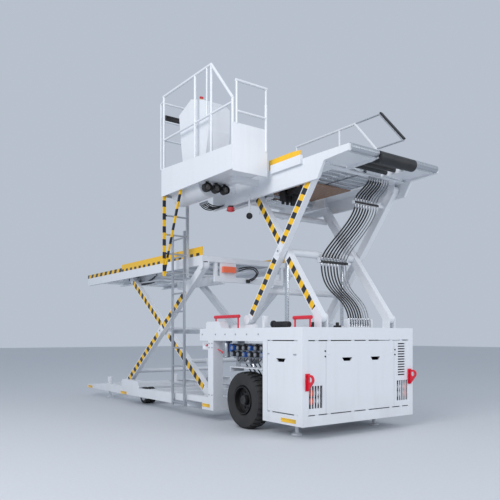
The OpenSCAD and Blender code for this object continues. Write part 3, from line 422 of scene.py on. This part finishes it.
tyre_rubber = rubber("tyre_rubber", (0.022, 0.022, 0.023, 1), 0.62, 260.0)
hose_rubber = rubber("hose_rubber", (0.010, 0.011, 0.014, 1), 0.34, 420.0)
black_paint = rubber("black_enamel", (0.012, 0.012, 0.014, 1), 0.3, 120.0)
black_moulding = rubber("black_moulding", (0.014, 0.014, 0.016, 1), 0.45, 500.0)
chrome = metal("hard_chrome", (0.62, 0.64, 0.67, 1), (0.82, 0.84, 0.86, 1), 0.08)
castings = metal("dark_casting", (0.05, 0.052, 0.058, 1), (0.13, 0.135, 0.145, 1), 0.42, 0.6)
alloy = metal("machined_alloy", (0.36, 0.38, 0.41, 1), (0.55, 0.57, 0.6, 1), 0.28)
steel_braid = metal("steel_braid", (0.16, 0.17, 0.18, 1), (0.34, 0.35, 0.37, 1), 0.3, 0.8)
zinc_fitting = metal("plated_fitting", (0.44, 0.45, 0.47, 1), (0.66, 0.67, 0.7, 1), 0.22)
coil_blue = rubber("coil_blue", (0.012, 0.10, 0.42, 1), 0.35, 300.0)
film_ply = plywood("film_plywood")
orange_lens = lens("orange_lens", (0.80, 0.085, 0.006, 1), 0.10)
red_lens = lens("red_lens", (0.75, 0.008, 0.03, 1), 0.05)
smoked_lens = lens("smoked_lens", (0.012, 0.012, 0.014, 1), 0.0)
clear_lens = lens("clear_lens", (0.75, 0.78, 0.82, 1), 0.02)
print("materials so far", len(bpy.data.materials))

# %% [markdown]
# Each solid now takes the finish of its material slot, apart from the legs, guides, upper ladder,
# lamp housings and rollers, which have their own.

# %% Finishes of the solids
by_slot = {
    "white_paint": white_paint,
    "yellow_paint": yellow_paint,
    "galvanised": zinc_steel,
    "chrome_rod": chrome,
    "tyre_rubber": tyre_rubber,
    "black_rubber": hose_rubber,
    "black_rim": black_paint,
    "dark_metal": castings,
    "red_paint": red_paint,
    "lamp_lens": orange_lens,
    "plywood": film_ply,
    "valve_metal": alloy,
    "black_plastic": black_moulding,
}
own_finish = {
    **leg_finishes,
    "main_guides": guide_bars,
    "ladder_upper": ladder_bars,
    "front_lamps": black_moulding,
    "bridge_rollers": roller_steel,
    "main_rollers": roller_steel,
    "bridge_rolls": roller_steel,
}
for name, solid in nodes.items():
    solid.data.materials.clear()
    solid.data.materials.append(own_finish.get(name, by_slot[slot_of[name]]))
print("dressed", len(nodes), "solids")

# %% [markdown]
# New pieces start as a primitive at its size and place. choose() opens edit mode with just the
# faces that pass a test selected, so insets and extrusions act where they should, and soften()
# rounds the edges with a Bevel modifier. painted() gives a piece its finish, and rig() its body.

# %% Modelling tools


def taken(name):
    piece = bpy.context.object
    piece.name = name
    piece.data.name = name
    bpy.ops.object.transform_apply(location=True, rotation=True, scale=True)
    return piece


def choose(piece, test):
    bpy.ops.object.select_all(action="DESELECT")
    piece.select_set(True)
    bpy.context.view_layer.objects.active = piece
    bpy.ops.object.mode_set(mode="EDIT")
    bpy.ops.mesh.select_mode(type="FACE")
    bpy.ops.mesh.select_all(action="DESELECT")
    bpy.ops.object.mode_set(mode="OBJECT")
    for face in piece.data.polygons:
        face.select = test(face.center, face.normal)
    bpy.ops.object.mode_set(mode="EDIT")


def recess(piece, axis, rim, depth):
    """Insets the faces that look along axis, and sinks or raises the middle."""
    choose(piece, lambda c, n: n.dot(Vector(axis)) > 0.95)
    bpy.ops.mesh.inset(thickness=rim / 1000, depth=0)
    bpy.ops.mesh.inset(thickness=0.0005, depth=depth / 1000)
    bpy.ops.object.mode_set(mode="OBJECT")
    return piece


def soften(piece, width, segments=2):
    bpy.ops.object.select_all(action="DESELECT")
    piece.select_set(True)
    bpy.context.view_layer.objects.active = piece
    edge = piece.modifiers.new("edge", "BEVEL")
    edge.width = width / 1000
    edge.segments = segments
    edge.limit_method = "ANGLE"
    bpy.ops.object.modifier_apply(modifier="edge")
    bpy.ops.object.shade_smooth_by_angle(angle=math.radians(35))
    return piece


def block(name, low, high, edge=3):
    bpy.ops.object.select_all(action="DESELECT")
    a, b = at(*low), at(*high)
    bpy.ops.mesh.primitive_cube_add(size=1, location=(a + b) / 2, scale=b - a)
    return soften(taken(name), edge)


def drum(name, centre, axis, radius, length, sides=24, rim=None, edge=2):
    """A cylinder along axis; rim is a list of (inset, depth) steps on the end that axis points to."""
    bpy.ops.object.select_all(action="DESELECT")
    turn = Vector(axis).to_track_quat("Z", "Y").to_euler()
    bpy.ops.mesh.primitive_cylinder_add(
        vertices=sides, radius=radius / 1000, depth=length / 1000, location=at(*centre), rotation=turn)
    piece = taken(name)
    way = Vector(axis).normalized()
    for inset, depth in rim or []:
        recess(piece, way, inset, depth)
    return soften(piece, edge)


def joined(pieces, name):
    bpy.ops.object.select_all(action="DESELECT")
    for piece in pieces:
        piece.select_set(True)
    bpy.context.view_layer.objects.active = pieces[0]
    bpy.ops.object.join()
    return taken(name)


def painted(piece, material):
    piece.data.materials.clear()
    piece.data.materials.append(material)
    return piece


def rig(piece, body):
    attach(piece, body)
    return piece


print("modelling tools ready")

# %% [markdown]
# A hose is a curve with a round bevel, turned into a mesh. The points come from a smooth curve
# through a few places, and a plated crimp sleeve closes each end.

# %% Hoses and their sleeves


def smooth(points, steps=10):
    ends = [points[0] * 2 - points[1], *points, points[-1] * 2 - points[-2]]
    path = []
    for i in range(1, len(ends) - 2):
        p, q, r, s = ends[i - 1:i + 3]
        for k in range(steps):
            t = k / steps
            path.append(0.5 * (2 * q + (r - p) * t + (2 * p - 5 * q + 4 * r - s) * t ** 2
                               + (3 * q - p - 3 * r + s) * t ** 3))
    return [*path, points[-1]]


def bezier(points, steps=24):
    a, b, c, d = points
    return [a * (1 - t) ** 3 + b * 3 * t * (1 - t) ** 2 + c * 3 * t ** 2 * (1 - t) + d * t ** 3
            for t in (k / steps for k in range(steps + 1))]


def tube(name, path, radius, material, sleeves=True):
    bpy.ops.object.select_all(action="DESELECT")
    bpy.ops.curve.primitive_nurbs_path_add()
    line = bpy.context.object
    line.matrix_world = Matrix.Identity(4)
    line.data.splines.clear()
    run = line.data.splines.new("POLY")
    run.points.add(len(path) - 1)
    for point, place in zip(run.points, path):
        point.co = (*place, 1)
    line.data.bevel_depth = radius / 1000
    line.data.bevel_resolution = 2
    line.data.use_fill_caps = True
    bpy.ops.object.convert(target="MESH")
    hose = painted(taken(name), material)
    bpy.ops.object.shade_smooth()
    if not sleeves:
        return hose
    parts = [hose]
    for end, inner in ((path[0], path[1]), (path[-1], path[-2])):
        way = (inner - end).normalized()
        centre = (end + way * radius * 0.002 - ORIGIN) * 1000
        step = [(radius * 0.2, 4)]
        sleeve = drum(f"{name}_sleeve", centre, way, radius * 1.35, radius * 4, 12, step, 1)
        parts.append(painted(sleeve, zinc_fitting))
    return joined(parts, name)


print("hose tools ready")

# %% [markdown]
# The hose bundle climbs through the bridge lift in three spans, clamped in between. Each span
# crosses one joint. The routes keep close to the solids' own, and the smoother hoses stand for
# those solids. The last three lines are thinner and have a steel braid.

# %% Hose bundle
ROWS = {"foot": (60, 470), "middle": (-80, 430), "clamp": (150, 600), "end": (140, 540)}
HOSES, RUBBER_HOSES = 9, 6
FOOT_X, MIDDLE_X, CLAMP_X, CLAMP_Z, END_X = -300, -735, -271.1, 3298.5, 10


def row_y(row, i):
    low, high = ROWS[row]
    return low + i * (high - low) / (HOSES - 1)


def route_of(route, i):
    return bezier([at(x, row_y(row, i), z) for x, row, z in route])


def span_of(name, route):
    hoses = []
    for i in range(HOSES):
        radius, skin = (12, hose_rubber) if i < RUBBER_HOSES else (8, steel_braid)
        hoses.append(tube(f"{name}_{i}", route_of(route, i), radius, skin))
    return joined(hoses, name)


low_route = [(FOOT_X, "foot", ROOF_Z), (FOOT_X, "foot", 2040),
             (MIDDLE_X, "middle", 1870), (MIDDLE_X, "middle", 2455)]
mid_route = [(MIDDLE_X, "middle", 2485), (MIDDLE_X + 30, "middle", 2690),
             (CLAMP_X, "clamp", CLAMP_Z - 280), (CLAMP_X, "clamp", CLAMP_Z - 20)]
top_route = [(CLAMP_X, "clamp", CLAMP_Z + 20), (CLAMP_X, "clamp", CLAMP_Z + 150),
             (END_X, "end", 3458), (END_X, "end", 3608)]
low_span = span_of("hose_bundle_low", low_route)
mid_span = span_of("hose_bundle_mid", mid_route)
top_span = span_of("hose_bundle_top", top_route)
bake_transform(low_span)
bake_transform(mid_span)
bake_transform(top_span)
for span, solid in ((low_span, "hose_low"), (mid_span, "hose_mid"), (top_span, "hose_top")):
    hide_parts(solid)
    print(span.name, len(span.data.polygons), "faces")
for name, low, high, body in (
    ("middle_clamp", (MIDDLE_X - 23, -110, 2452), (MIDDLE_X + 23, 460, 2488), "bridge_inner"),
    ("top_clamp", (CLAMP_X - 23, 120, CLAMP_Z - 18), (CLAMP_X + 23, 630, CLAMP_Z + 18), "bridge_outer"),
):
    rig(painted(block(name, low, high, 5), black_moulding), body)

# %% [markdown]
# The front tyres have a rounded shoulder and a block tread. One profile ring is spun round the
# axle, and the outer faces of every third step are pushed in to leave the blocks standing. The two
# halves of the tread are one step apart.

# %% Tyre tread
TYRE_R, RIM_R, TYRE_W = AXLE_Z, 201, 260
STEPS, PROFILE, SQUARENESS = 90, 28, 0.72
CROWN, GROOVE = 26, 13  # depth of the tread's band and of its grooves


def tyre(name, side):
    bpy.ops.object.select_all(action="DESELECT")
    centre = at(AXLE_X, side * (HALF_WIDTH - TYRE_W / 2), TYRE_R)
    bpy.ops.mesh.primitive_circle_add(vertices=PROFILE, radius=1, fill_type="NOTHING")
    piece = bpy.context.object
    mid_r, half_r, half_w = (TYRE_R + RIM_R) / 2000, (TYRE_R - RIM_R) / 2000, TYRE_W / 2000
    for v in piece.data.vertices:
        angle = math.atan2(v.co.y, v.co.x)
        c, s = math.cos(angle), math.sin(angle)
        round_up = max(abs(c), abs(s)) ** SQUARENESS
        v.co = centre + Vector((mid_r + half_r * c / round_up, half_w * s / round_up, 0))
    bpy.ops.object.mode_set(mode="EDIT")
    bpy.ops.mesh.select_all(action="SELECT")
    bpy.ops.mesh.spin(steps=STEPS, angle=math.tau, center=centre, axis=(0, 1, 0))
    bpy.ops.mesh.select_all(action="SELECT")
    bpy.ops.mesh.remove_doubles(threshold=0.0005)
    bpy.ops.mesh.normals_make_consistent(inside=False)
    bpy.ops.object.mode_set(mode="OBJECT")

    def groove(c, n):
        off = c - centre
        turn = math.atan2(off.z, off.x) / math.tau * STEPS
        crown = math.hypot(off.x, off.z) > (TYRE_R - CROWN) / 1000
        block_row = 0 if off.y > 0 else 1
        return crown and (int(turn + STEPS) + block_row) % 3 == 0

    choose(piece, groove)
    bpy.ops.mesh.extrude_region_shrink_fatten(TRANSFORM_OT_shrink_fatten={"value": -GROOVE / 1000})
    bpy.ops.object.mode_set(mode="OBJECT")
    piece = painted(taken(name), tyre_rubber)
    bpy.ops.object.shade_smooth_by_angle(angle=math.radians(40))
    return piece


for side, key in ((-1, "r"), (1, "l")):
    tread = rig(tyre(f"tread_tyre_{key}", side), f"front_wheel_{key}")
    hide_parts(f"front_tyre_{key}")
    print(tread.name, len(tread.data.polygons), "faces")

# %% [markdown]
# Each front wheel is held by ten nuts round a hub cap. A nut is a six-sided cylinder with a sunk
# end. The nuts go round the bolt circle and are joined into one piece with the cap and the lip.

# %% Wheel nuts and hub caps
NUTS, BOLT_CIRCLE, WHEEL_FACE, CAP_FACE = 10, 118, 1015, 1066
for side, key in ((-1, "r"), (1, "l")):
    out = (0, side, 0)
    nuts = []
    for i in range(NUTS):
        turn = math.tau * i / NUTS
        x, z = AXLE_X + BOLT_CIRCLE * math.cos(turn), AXLE_Z + BOLT_CIRCLE * math.sin(turn)
        nuts.append(drum(f"nut_{key}_{i}", (x, side * (WHEEL_FACE + 9), z), out, 15, 22, 6, [(4, -3)], 1.5))
    hub = (AXLE_X, side * CAP_FACE, AXLE_Z)
    nuts.append(drum(f"hub_cap_{key}", hub, out, 62, 22, 36, [(10, 5), (14, -4)], 3))
    rim = (AXLE_X, side * (WHEEL_FACE - 2), AXLE_Z)
    nuts.append(drum(f"lip_{key}", rim, out, 185, 18, 48, [(22, -8)], 3))
    for nut in nuts:
        painted(nut, black_paint)
    rig(joined(nuts, f"wheel_nuts_{key}"), f"front_wheel_{key}")
print("wheel nuts on two wheels")

# %% [markdown]
# Behind each grille sit four round lamps, two orange ones outside and two clear ones inside, each
# with a domed and ribbed glass.

# %% Front lamps
for side in (-1, 1):
    for column, (y, glass) in enumerate(((810, clear_lens), (930, orange_lens))):
        for row, z in enumerate((510, 615)):
            name = f"lamp_{'r' if side < 0 else 'l'}_{column}{row}"
            lamp = drum(name, (-33, side * y, z), (1, 0, 0), 44, 10, 32, [(5, 2), (8, 3), (10, 2)], 1.5)
            rig(painted(lamp, glass), "chassis")
print("eight lamps")

# %% [markdown]
# Amber reflectors mark the long sides: one on the module's sill and three along the rear rails.
# Each is a flat strip with a raised rim.

# %% Reflectors
marks = []
for x, z, width in ((-283, 243, 306), (-7290, 212, 240), (-5480, 212, 280), (-2328, 252, 220)):
    for side in (-1, 1):
        y_low, y_high = sorted((side * HALF_WIDTH, side * (HALF_WIDTH + 4)))
        strip = block("reflector", (x - width / 2, y_low, z - 27), (x + width / 2, y_high, z + 27), 1)
        recess(strip, (0, side, 0), 5, -1.2)
        marks.append(painted(strip, yellow_paint))
rig(joined(marks, "side_reflectors"), "chassis")
print("reflectors", len(marks))

# %% [markdown]
# Above the front wheel hangs the valve block. Each spool has a square coil on its tube, mostly
# black, with a plug on top and a plated override at the end. A large blue coil closes the rear
# end, an oil filter hangs from the beam next to it, and hoses run down to the chassis spine.

# %% Coils, plugs and valve hoses
SPOOLS, SPOOL_PITCH = 6, 146
coils, plugs = [], []
for i in range(SPOOLS):
    x = -1690 + i * SPOOL_PITCH
    for row, z in enumerate((1090, 1185)):
        shell = block("coil", (x - 36, -1032, z - 36), (x + 36, -978, z + 36), 5)
        recess(shell, (0, -1, 0), 8, -3)
        coils.append(painted(shell, coil_blue if (i + 2 * row) % 3 == 2 else black_moulding))
        knob = drum("override", (x, -1044, z), (0, -1, 0), 12, 14, 16, [(3, 3), (3, -2)], 1)
        coils.append(painted(knob, zinc_fitting))
        plug = block("plug", (x - 15, -1026, z + 36), (x + 15, -990, z + 50), 3)
        recess(plug, (0, 0, 1), 4, 2)
        plugs.append(painted(plug, black_moulding))
big_coil = block("big_coil", (-1812, -1004, 1122), (-1751, -860, 1244), 8)
recess(big_coil, (0, -1, 0), 14, -5)
coils.append(painted(big_coil, coil_blue))
manifold = block("manifold", (-1600, -958, 948), (-1345, -800, 1019), 5)
recess(manifold, (0, -1, 0), 12, 4)
coils.append(painted(manifold, alloy))
coils.append(painted(block("filter_head", (-1958, -1052, 1254), (-1836, -930, 1289), 6), alloy))
bowl = drum("filter_bowl", (-1897, -991, 1148), (0, 0, -1), 58, 212, 36, [(8, 5), (16, 6), (14, -4)], 5)
coils.append(painted(bowl, alloy))
for i in range(5):
    pipe = [at(-1722 + i * 26, -930, z) for z in (1020, 960, 902)]
    coils.append(tube("drain_pipe", pipe, 6, zinc_fitting, False))
rig(joined(coils, "valve_coils"), "chassis")
rig(joined(plugs, "valve_plugs"), "chassis")
lines = []
for i in range(7):
    x = -1660 + i * 112
    route = [at(x, -805, 1022), at(x, -800, 955), at(x + 14, -720, 830),
             at(x + 20, -580, 650), at(x + 20, -460, 484)]
    lines.append(tube(f"valve_hose_{i}", smooth(route), 10, hose_rubber))
for i in range(4):
    x = -1600 + i * 170
    route = [at(x, -960, 1050), at(x, -985, 1040), at(x + 30, -1000, 985),
             at(x + 85, -985, 1040), at(x + 85, -960, 1050)]
    lines.append(tube(f"pilot_hose_{i}", smooth(route), 7, hose_rubber))
for i in range(SPOOLS):
    x, z = -1705 + i * SPOOL_PITCH, 1225 - 14 * (i % 2)
    route = [at(x, -962, z), at(x, -1004, z + 4), at(x + 40, -1022, z + 20),
             at(x + 100, -1004, z + 6), at(x + 100, -962, z)]
    lines.append(tube(f"bridge_hose_{i}", smooth(route), 8, hose_rubber))
rig(joined(lines, "valve_hoses"), "chassis")
print("valve block dressed:", len(coils), "coil parts", len(lines), "hoses")

# %% [markdown]
# A hand pump sits behind the column, with a red lever, and a second red lever works a valve in
# front of it.

# %% Hand pump and levers
pump = block("pump_body", (-2500, -1062, 1140), (-2272, -925, 1262), 8)
recess(pump, (0, -1, 0), 14, -5)
rig(painted(pump, white_paint), "chassis")
levers = []
for start, end in (
    ((-2390, -1064, 1205), (-2296, -1084, 1222)),
    ((-2114, -1010, 1150), (-1965, -1016, 1105)),
):
    a, b = Vector(start), Vector(end)
    bow = a * 0.5 + b * 0.5 + Vector((0, 0, 4))
    levers.append(tube("lever", [at(*a), at(*bow), at(*b)], 10, red_paint, False))
    levers.append(painted(drum("lever_knob", b, b - a, 17, 34, 20, [(5, 4), (5, 3)], 2), red_paint))
rig(joined(levers, "red_levers"), "chassis")
print("hand pump and two levers")

# %% [markdown]
# On the module's roof the hose bundle starts from a row of hexagon adapters and plated pipes in a
# folded bracket. Next to it lie a black pump motor with a finned end, valves and an upright stop.

# %% Roof fittings
fittings = []
for i in range(HOSES):
    start = route_of(low_route, i)[:3]
    base = drum("adapter", (FOOT_X, row_y("foot", i), ROOF_Z + 14), (0, 0, 1), 21, 28, 6, [(3, 3)], 1.5)
    fittings.append(painted(base, zinc_fitting))
    fittings.append(tube("foot_pipe", start, 15, zinc_fitting, False))
    union = drum("union", (start[2] - ORIGIN) * 1000, (0, 0, 1), 19, 22, 6, [(3, 2)], 1.5)
    fittings.append(painted(union, zinc_fitting))
rig(joined(fittings, "hose_adapters"), "chassis")
rack = [block("rack_base", (-372, 20, ROOF_Z), (-262, 512, 1490), 2)]
rack.append(block("rack_back", (-372, 20, 1490), (-362, 512, 1600), 2))
rack.append(block("rack_bar", (-362, 30, 1556), (-322, 504, 1566), 2))
for y in (22, 502):
    rack.append(block("rack_end", (-372, y, 1490), (-262, y + 8, 1612), 2))
for plate in rack:
    painted(plate, white_paint)
recess(rack[1], (-1, 0, 0), 18, -2)
rig(joined(rack, "hose_rack"), "chassis")
motor = [drum("motor_case", (-600, -955, 1522), (-1, 0, 0), 40, 330, 32, [(8, 6), (6, -4)], 4)]
for i in range(7):
    motor.append(drum("motor_fin", (-700 + i * 34, -955, 1522), (-1, 0, 0), 44, 10, 32, [(4, 2)], 1.5))
motor.append(drum("motor_wheel", (-776, -955, 1530), (-1, 0, 0), 50, 26, 36, [(12, -6), (14, 4)], 4))
for x, y in ((-250, -690), (-330, -560), (-230, -250)):
    motor.append(block("valve_foot", (x - 45, y - 34, ROOF_Z), (x + 45, y + 34, 1512), 4))
    motor.append(drum("valve_stem", (x, y, 1530), (0, 0, 1), 24, 40, 20, [(6, 4), (4, -3)], 2))
    motor.append(drum("valve_port", (x + 40, y, 1500), (1, 0, 0), 13, 34, 6, [(3, 2)], 1.5))
for part in motor:
    painted(part, black_moulding)
rig(joined(motor, "roof_motor"), "chassis")
stop = block("roof_stop", (-985, -1000, ROOF_Z), (-930, -915, 1652), 8)
recess(stop, (0, -1, 0), 12, -4)
rig(painted(stop, white_paint), "chassis")
print("roof fittings", len(fittings) + len(rack) + len(motor))

# %% [markdown]
# Under the bridge three chromed drive rollers lie between the tracks, and a hydraulic motor with
# its hoses hangs below the plywood. A lamp, a red beacon and a hanging lamp light the work.

# %% Bridge drive and lamps
for i, x in enumerate((-1850, -1740, -1630)):
    roller = drum(f"drive_roller_{i}", (x, 0, 3522), (0, 1, 0), 40, 1056, 32, [(10, -6)], 3)
    recess(roller, (0, -1, 0), 10, -6)
    rig(painted(roller, chrome), "bridge")
drive = [block("drive_block", (-1180, -360, 3500), (-1010, -180, BRIDGE_UNDER_Z), 6)]
recess(drive[0], (1, 0, 0), 14, -6)
drive.append(drum("drive_motor", (-1095, -270, 3424), (0, 0, -1), 58, 156, 28, [(12, 8), (10, -6)], 4))
for i in range(4):
    y = -398 + i * 88
    low, high = (-1290 + i * 5, y - 32, 3420), (-1200, y + 32, BRIDGE_UNDER_Z)
    drive.append(block("drive_valve", low, high, 6))
    drive.append(drum("drive_plug", (-1245, y, 3400), (0, 0, -1), 24, 44, 16, [(5, 6), (5, -4)], 2))
drive.append(drum("drive_gear", (-1095, -120, 3548), (0, 1, 0), 52, 130, 28, [(10, 10), (12, 8)], 4))
drive.append(drum("work_lamp", (-800, -430, 3490), (0.7, -0.7, -0.2), 55, 60, 28, [(6, -8), (12, 3)], 4))
drive.append(block("work_lamp_arm", (-812, -440, 3520), (-788, -420, BRIDGE_UNDER_Z), 3))
for part in drive:
    painted(part, black_moulding)
for i in range(5):
    y = -340 + i * 42
    sag = 40 + 14 * (i % 3)
    route = [at(-1180, y, 3560), at(-1250, y, 3548), at(-1330, y + 20, 3560 - sag),
             at(-1420, y + 30, 3545), at(-1470, y + 30, BRIDGE_UNDER_Z)]
    drive.append(tube(f"drive_hose_{i}", smooth(route), 9, hose_rubber))
rig(joined(drive, "bridge_drive"), "bridge")
foot = drum("beacon_foot", (-1970, -867, 3398), (0, 0, -1), 44, 26, 28, [(4, 2)], 2)
steps = [(8, 9), (14, 7), (14, 3)]
dome = drum("beacon_dome", (-1970, -867, 3362), (0, 0, -1), 60, 50, 32, steps, 6)
beacon = [painted(foot, black_moulding), painted(dome, red_lens)]
rig(joined(beacon, "red_beacon"), "bridge")
stalk = block("stalk", (-1442, -913, 3205), (-1418, -888, 3470), 3)
aim = (0.8, -0.5, -0.3)
head = drum("hanging_lamp", (-1430, -900, 3165), aim, 44, 46, 28, [(6, -6), (10, 3)], 4)
hanging = [painted(stalk, white_paint), painted(head, black_moulding)]
rig(joined(hanging, "hanging_lamp"), "bridge")
print("drive rollers, motor, beacon and lamps")

# %% [markdown]
# Three round working lamps face forward below the operator's floor. Each is a turned housing with
# a sunk glass and a stirrup up to the floor.

# %% Working lamps
LAMP_YS, LAMP_Z = (-1455, -1295, -1140), 3572
cluster = []
for y in LAMP_YS:
    housing = drum("lamp_housing", (-1740, y, LAMP_Z), (1, 0, 0), 66, 84, 36, [(7, 3), (4, -14)], 5)
    cluster.append(painted(housing, black_moulding))
    glass = drum("lamp_glass", (-1710, y, LAMP_Z), (1, 0, 0), 54, 10, 32, [(10, 3), (16, 2)], 2)
    cluster.append(painted(glass, smoked_lens))
    stirrup = block("stirrup", (-1754, y - 16, 3630), (-1724, y + 16, 3660), 3)
    cluster.append(painted(stirrup, black_moulding))
rig(joined(cluster, "working_lamps"), "bridge")
print("working lamps", len(LAMP_YS))

# %% [markdown]
# Black hoses sag from the tray below the operator's floor to the bridge. The console gets a
# control plate with buttons and a red stop button, and a switch box hangs on the rail behind it.

# %% Tray hoses and console
tray_lines = []
for i in range(6):
    x = -2120 - i * 42
    dip = 3420 - 12 * (i % 3)
    route = [at(x, -1210, 3478), at(x, -1205, 3448), at(x - 10, -1110, dip),
             at(x - 10, -990, dip), at(x, -900, 3440), at(x, -889, 3462)]
    tray_lines.append(tube(f"tray_hose_{i}", smooth(route), 9, hose_rubber))
rig(joined(tray_lines, "tray_hoses"), "bridge")


def slab(name, centre, tilt, size, edge=3):
    bpy.ops.object.select_all(action="DESELECT")
    bpy.ops.mesh.primitive_cube_add(
        size=1, location=at(*centre), rotation=(0, tilt, 0), scale=Vector(size) / 1000)
    return soften(taken(name), edge)


slope = math.atan2(140, 370)
rear_way = Vector((-math.sin(slope), 0, math.cos(slope)))
up_way = Vector((math.cos(slope), 0, math.sin(slope)))
seat = Vector((-2325, -1300, 4930)) + rear_way * 5
controls = [painted(slab("control_plate", seat, -slope, (330, 320, 12)), alloy)]
for i in range(4):
    for j in range(3):
        spot = seat + up_way * (-105 + 70 * i) + Vector((0, -95 + 95 * j, 0))
        button = drum("button", spot + rear_way * 12, rear_way, 15, 16, 20, [(4, 3), (4, 2)], 2)
        controls.append(painted(button, (black_moulding, coil_blue, yellow_paint)[(i + j) % 3]))
rig(joined(controls, "control_plate"), "bridge")
front_way = Vector((120, 0, 360)).normalized()
stop_seat = Vector((-1960, -1420, 4940))
stem = drum("stop_stem", stop_seat + front_way * 14, front_way, 16, 30, 20, [(3, 2)], 2)
head = drum("stop_head", stop_seat + front_way * 40, front_way, 30, 24, 28, [(6, 5), (8, 3)], 5)
stop_button = [painted(stem, yellow_paint), painted(head, red_paint)]
rig(joined(stop_button, "stop_button"), "bridge")
switch_box = block("rail_box", (-2910, -1545, 4877), (-2848, -1230, 4962), 6)
recess(switch_box, (1, 0, 0), 12, -4)
rig(painted(switch_box, black_moulding), "bridge")
print("console dressed")

# %% [markdown]
# The pins of the scissors end in flat caps with a bolt, the module's front panels close with small
# quarter-turn latches and its side panels with plated bars, and hexagon bolts hold the side beams.
# A thin toe plate lies on the rail below the ladder.

# %% Caps, latches and bolts


def cap(name, x, z, y, side, radius, body):
    plate = drum(f"{name}_plate", (x, y + side * 4, z), (0, side, 0), radius, 12, 36, [(9, -3)], 2)
    head = drum(f"{name}_head", (x, y + side * 10, z), (0, side, 0), 17, 16, 6, [(4, 2)], 1.5)
    rig(joined([painted(plate, white_paint), painted(head, zinc_fitting)], name), body)


for side, key in ((-1, "r"), (1, "l")):
    cap(f"rear_cross_cap_{key}", -4140, 1465, side * 975, side, 62, "main_inner")
    cap(f"bridge_cross_cap_{key}", -810, 2570, side * 840, side, 54, "bridge_inner")
latches = []
for y, z in ((-698, 1164), (-698, 1092), (698, 1164), (698, 1092)):
    latch = drum("latch", (-3, y, z), (1, 0, 0), 11, 10, 20, [(3, 2), (3, -2)], 1)
    latches.append(painted(latch, black_moulding))
for x in (-735, -165):
    for y in (-1096, 1086):
        latch = block("side_latch", (x - 28, y, 1114), (x + 28, y + 10, 1126), 2)
        latches.append(painted(latch, zinc_fitting))
rig(joined(latches, "panel_latches"), "chassis")
bolt_places = [(x, 1388) for x in (-2440, -2050, -1780, -1500, -1220, -940)]
bolt_places += [(x, z) for x in (-2235, -2150) for z in (430, 1180, 1245)]
bolts = []
for side in (-1, 1):
    for x, z in bolt_places:
        bolt = drum("bolt", (x, side * (HALF_WIDTH + 3), z), (0, side, 0), 13, 8, 6, [(3, 2)], 1)
        bolts.append(painted(bolt, zinc_fitting))
toe_plate = block("toe_plate", (-2925, -HALF_WIDTH - 4, 178), (-2450, -HALF_WIDTH, 292), 1)
recess(toe_plate, (0, -1, 0), 10, -1.5)
bolts.append(painted(toe_plate, zinc_steel))
rig(joined(bolts, "side_bolts"), "chassis")
print("four caps, latches", len(latches), "bolts", len(bolts) - 1, "and a toe plate")

# %% [markdown]
# Under the rear platform a bundle of hoses sags between two cross members. Two more leave the
# beacon's plate on the front cross frame and turn down to a clamp on its lower rail.

# %% Platform hoses
under = []
for i in range(5):
    y = -690 + i * 30
    low = 2470 - 12 * (i % 3)
    route = [at(-6100, y, 2604), at(-6080, y, 2566), at(-5720, y + 6, low), at(-5200, y - 6, low),
             at(-4860, y, 2560), at(-4830, y, 2604)]
    under.append(tube(f"platform_hose_{i}", smooth(route), 13, hose_rubber))
front_bends = (
    ((-322, 2500), (-129, 2554), (44, 2566), (131, 2519),
     (153, 2468), (87, 2376), (0, 2325), (-50, 2300)),
    ((-322, 2460), (-129, 2524), (30, 2534), (102, 2496),
     (120, 2460), (62, 2388), (-30, 2345), (-80, 2322)),
)
for i, bends in enumerate(front_bends):
    route = [at(-2608, y, z) for y, z in bends]
    under.append(tube(f"front_hose_{i}", smooth(route), 11, hose_rubber))
under.append(painted(block("front_clamp", (-2620, -104, 2288), (-2590, -26, 2346), 4), black_moulding))
rig(joined(under, "platform_hoses"), "main_platform")
print("platform hoses", len(under) - 1)

# %% [markdown]
# A pale floor carries the machine, a large lamp stands to the left of the camera, a weaker one
# fills the shadows, and the sky is an even pale grey.

# %% Floor, light and sky
bpy.ops.object.select_all(action="DESELECT")
bpy.ops.mesh.primitive_plane_add(size=120)
floor = taken("studio_floor")
ground = Finish("pale_floor")
speck = ground.noise(30.0, 4.0)
ground.shade(
    base_color=ground.blend(speck, (0.60, 0.62, 0.65, 1), (0.66, 0.68, 0.71, 1)),
    roughness=speck * 0.1 + 0.7,
)
painted(floor, ground.material)


def soft_lamp(name, place, aim, size, power):
    bpy.ops.object.light_add(type="AREA", location=ORIGIN + Vector(place))
    lamp = bpy.context.object
    lamp.name = name
    lamp.data.size = size
    lamp.data.energy = power
    lamp.rotation_euler = (Vector(aim) - Vector(place)).to_track_quat("-Z", "Y").to_euler()


soft_lamp("key_light", (2.5, -11.0, 8.5), (-3.0, 0.0, 2.0), 7.0, 830)
soft_lamp("fill_light", (10.0, 3.0, 6.0), (-1.0, 0.0, 2.0), 6.0, 360)
sky = bpy.data.worlds.new("studio_sky")
sky.use_nodes = True
sky.node_tree.nodes["Background"].inputs["Color"].default_value = (0.72, 0.80, 0.92, 1)
sky.node_tree.nodes["Background"].inputs["Strength"].default_value = 0.66
bpy.context.scene.world = sky
bpy.context.scene.view_settings.view_transform = "Standard"
print("floor and lights")
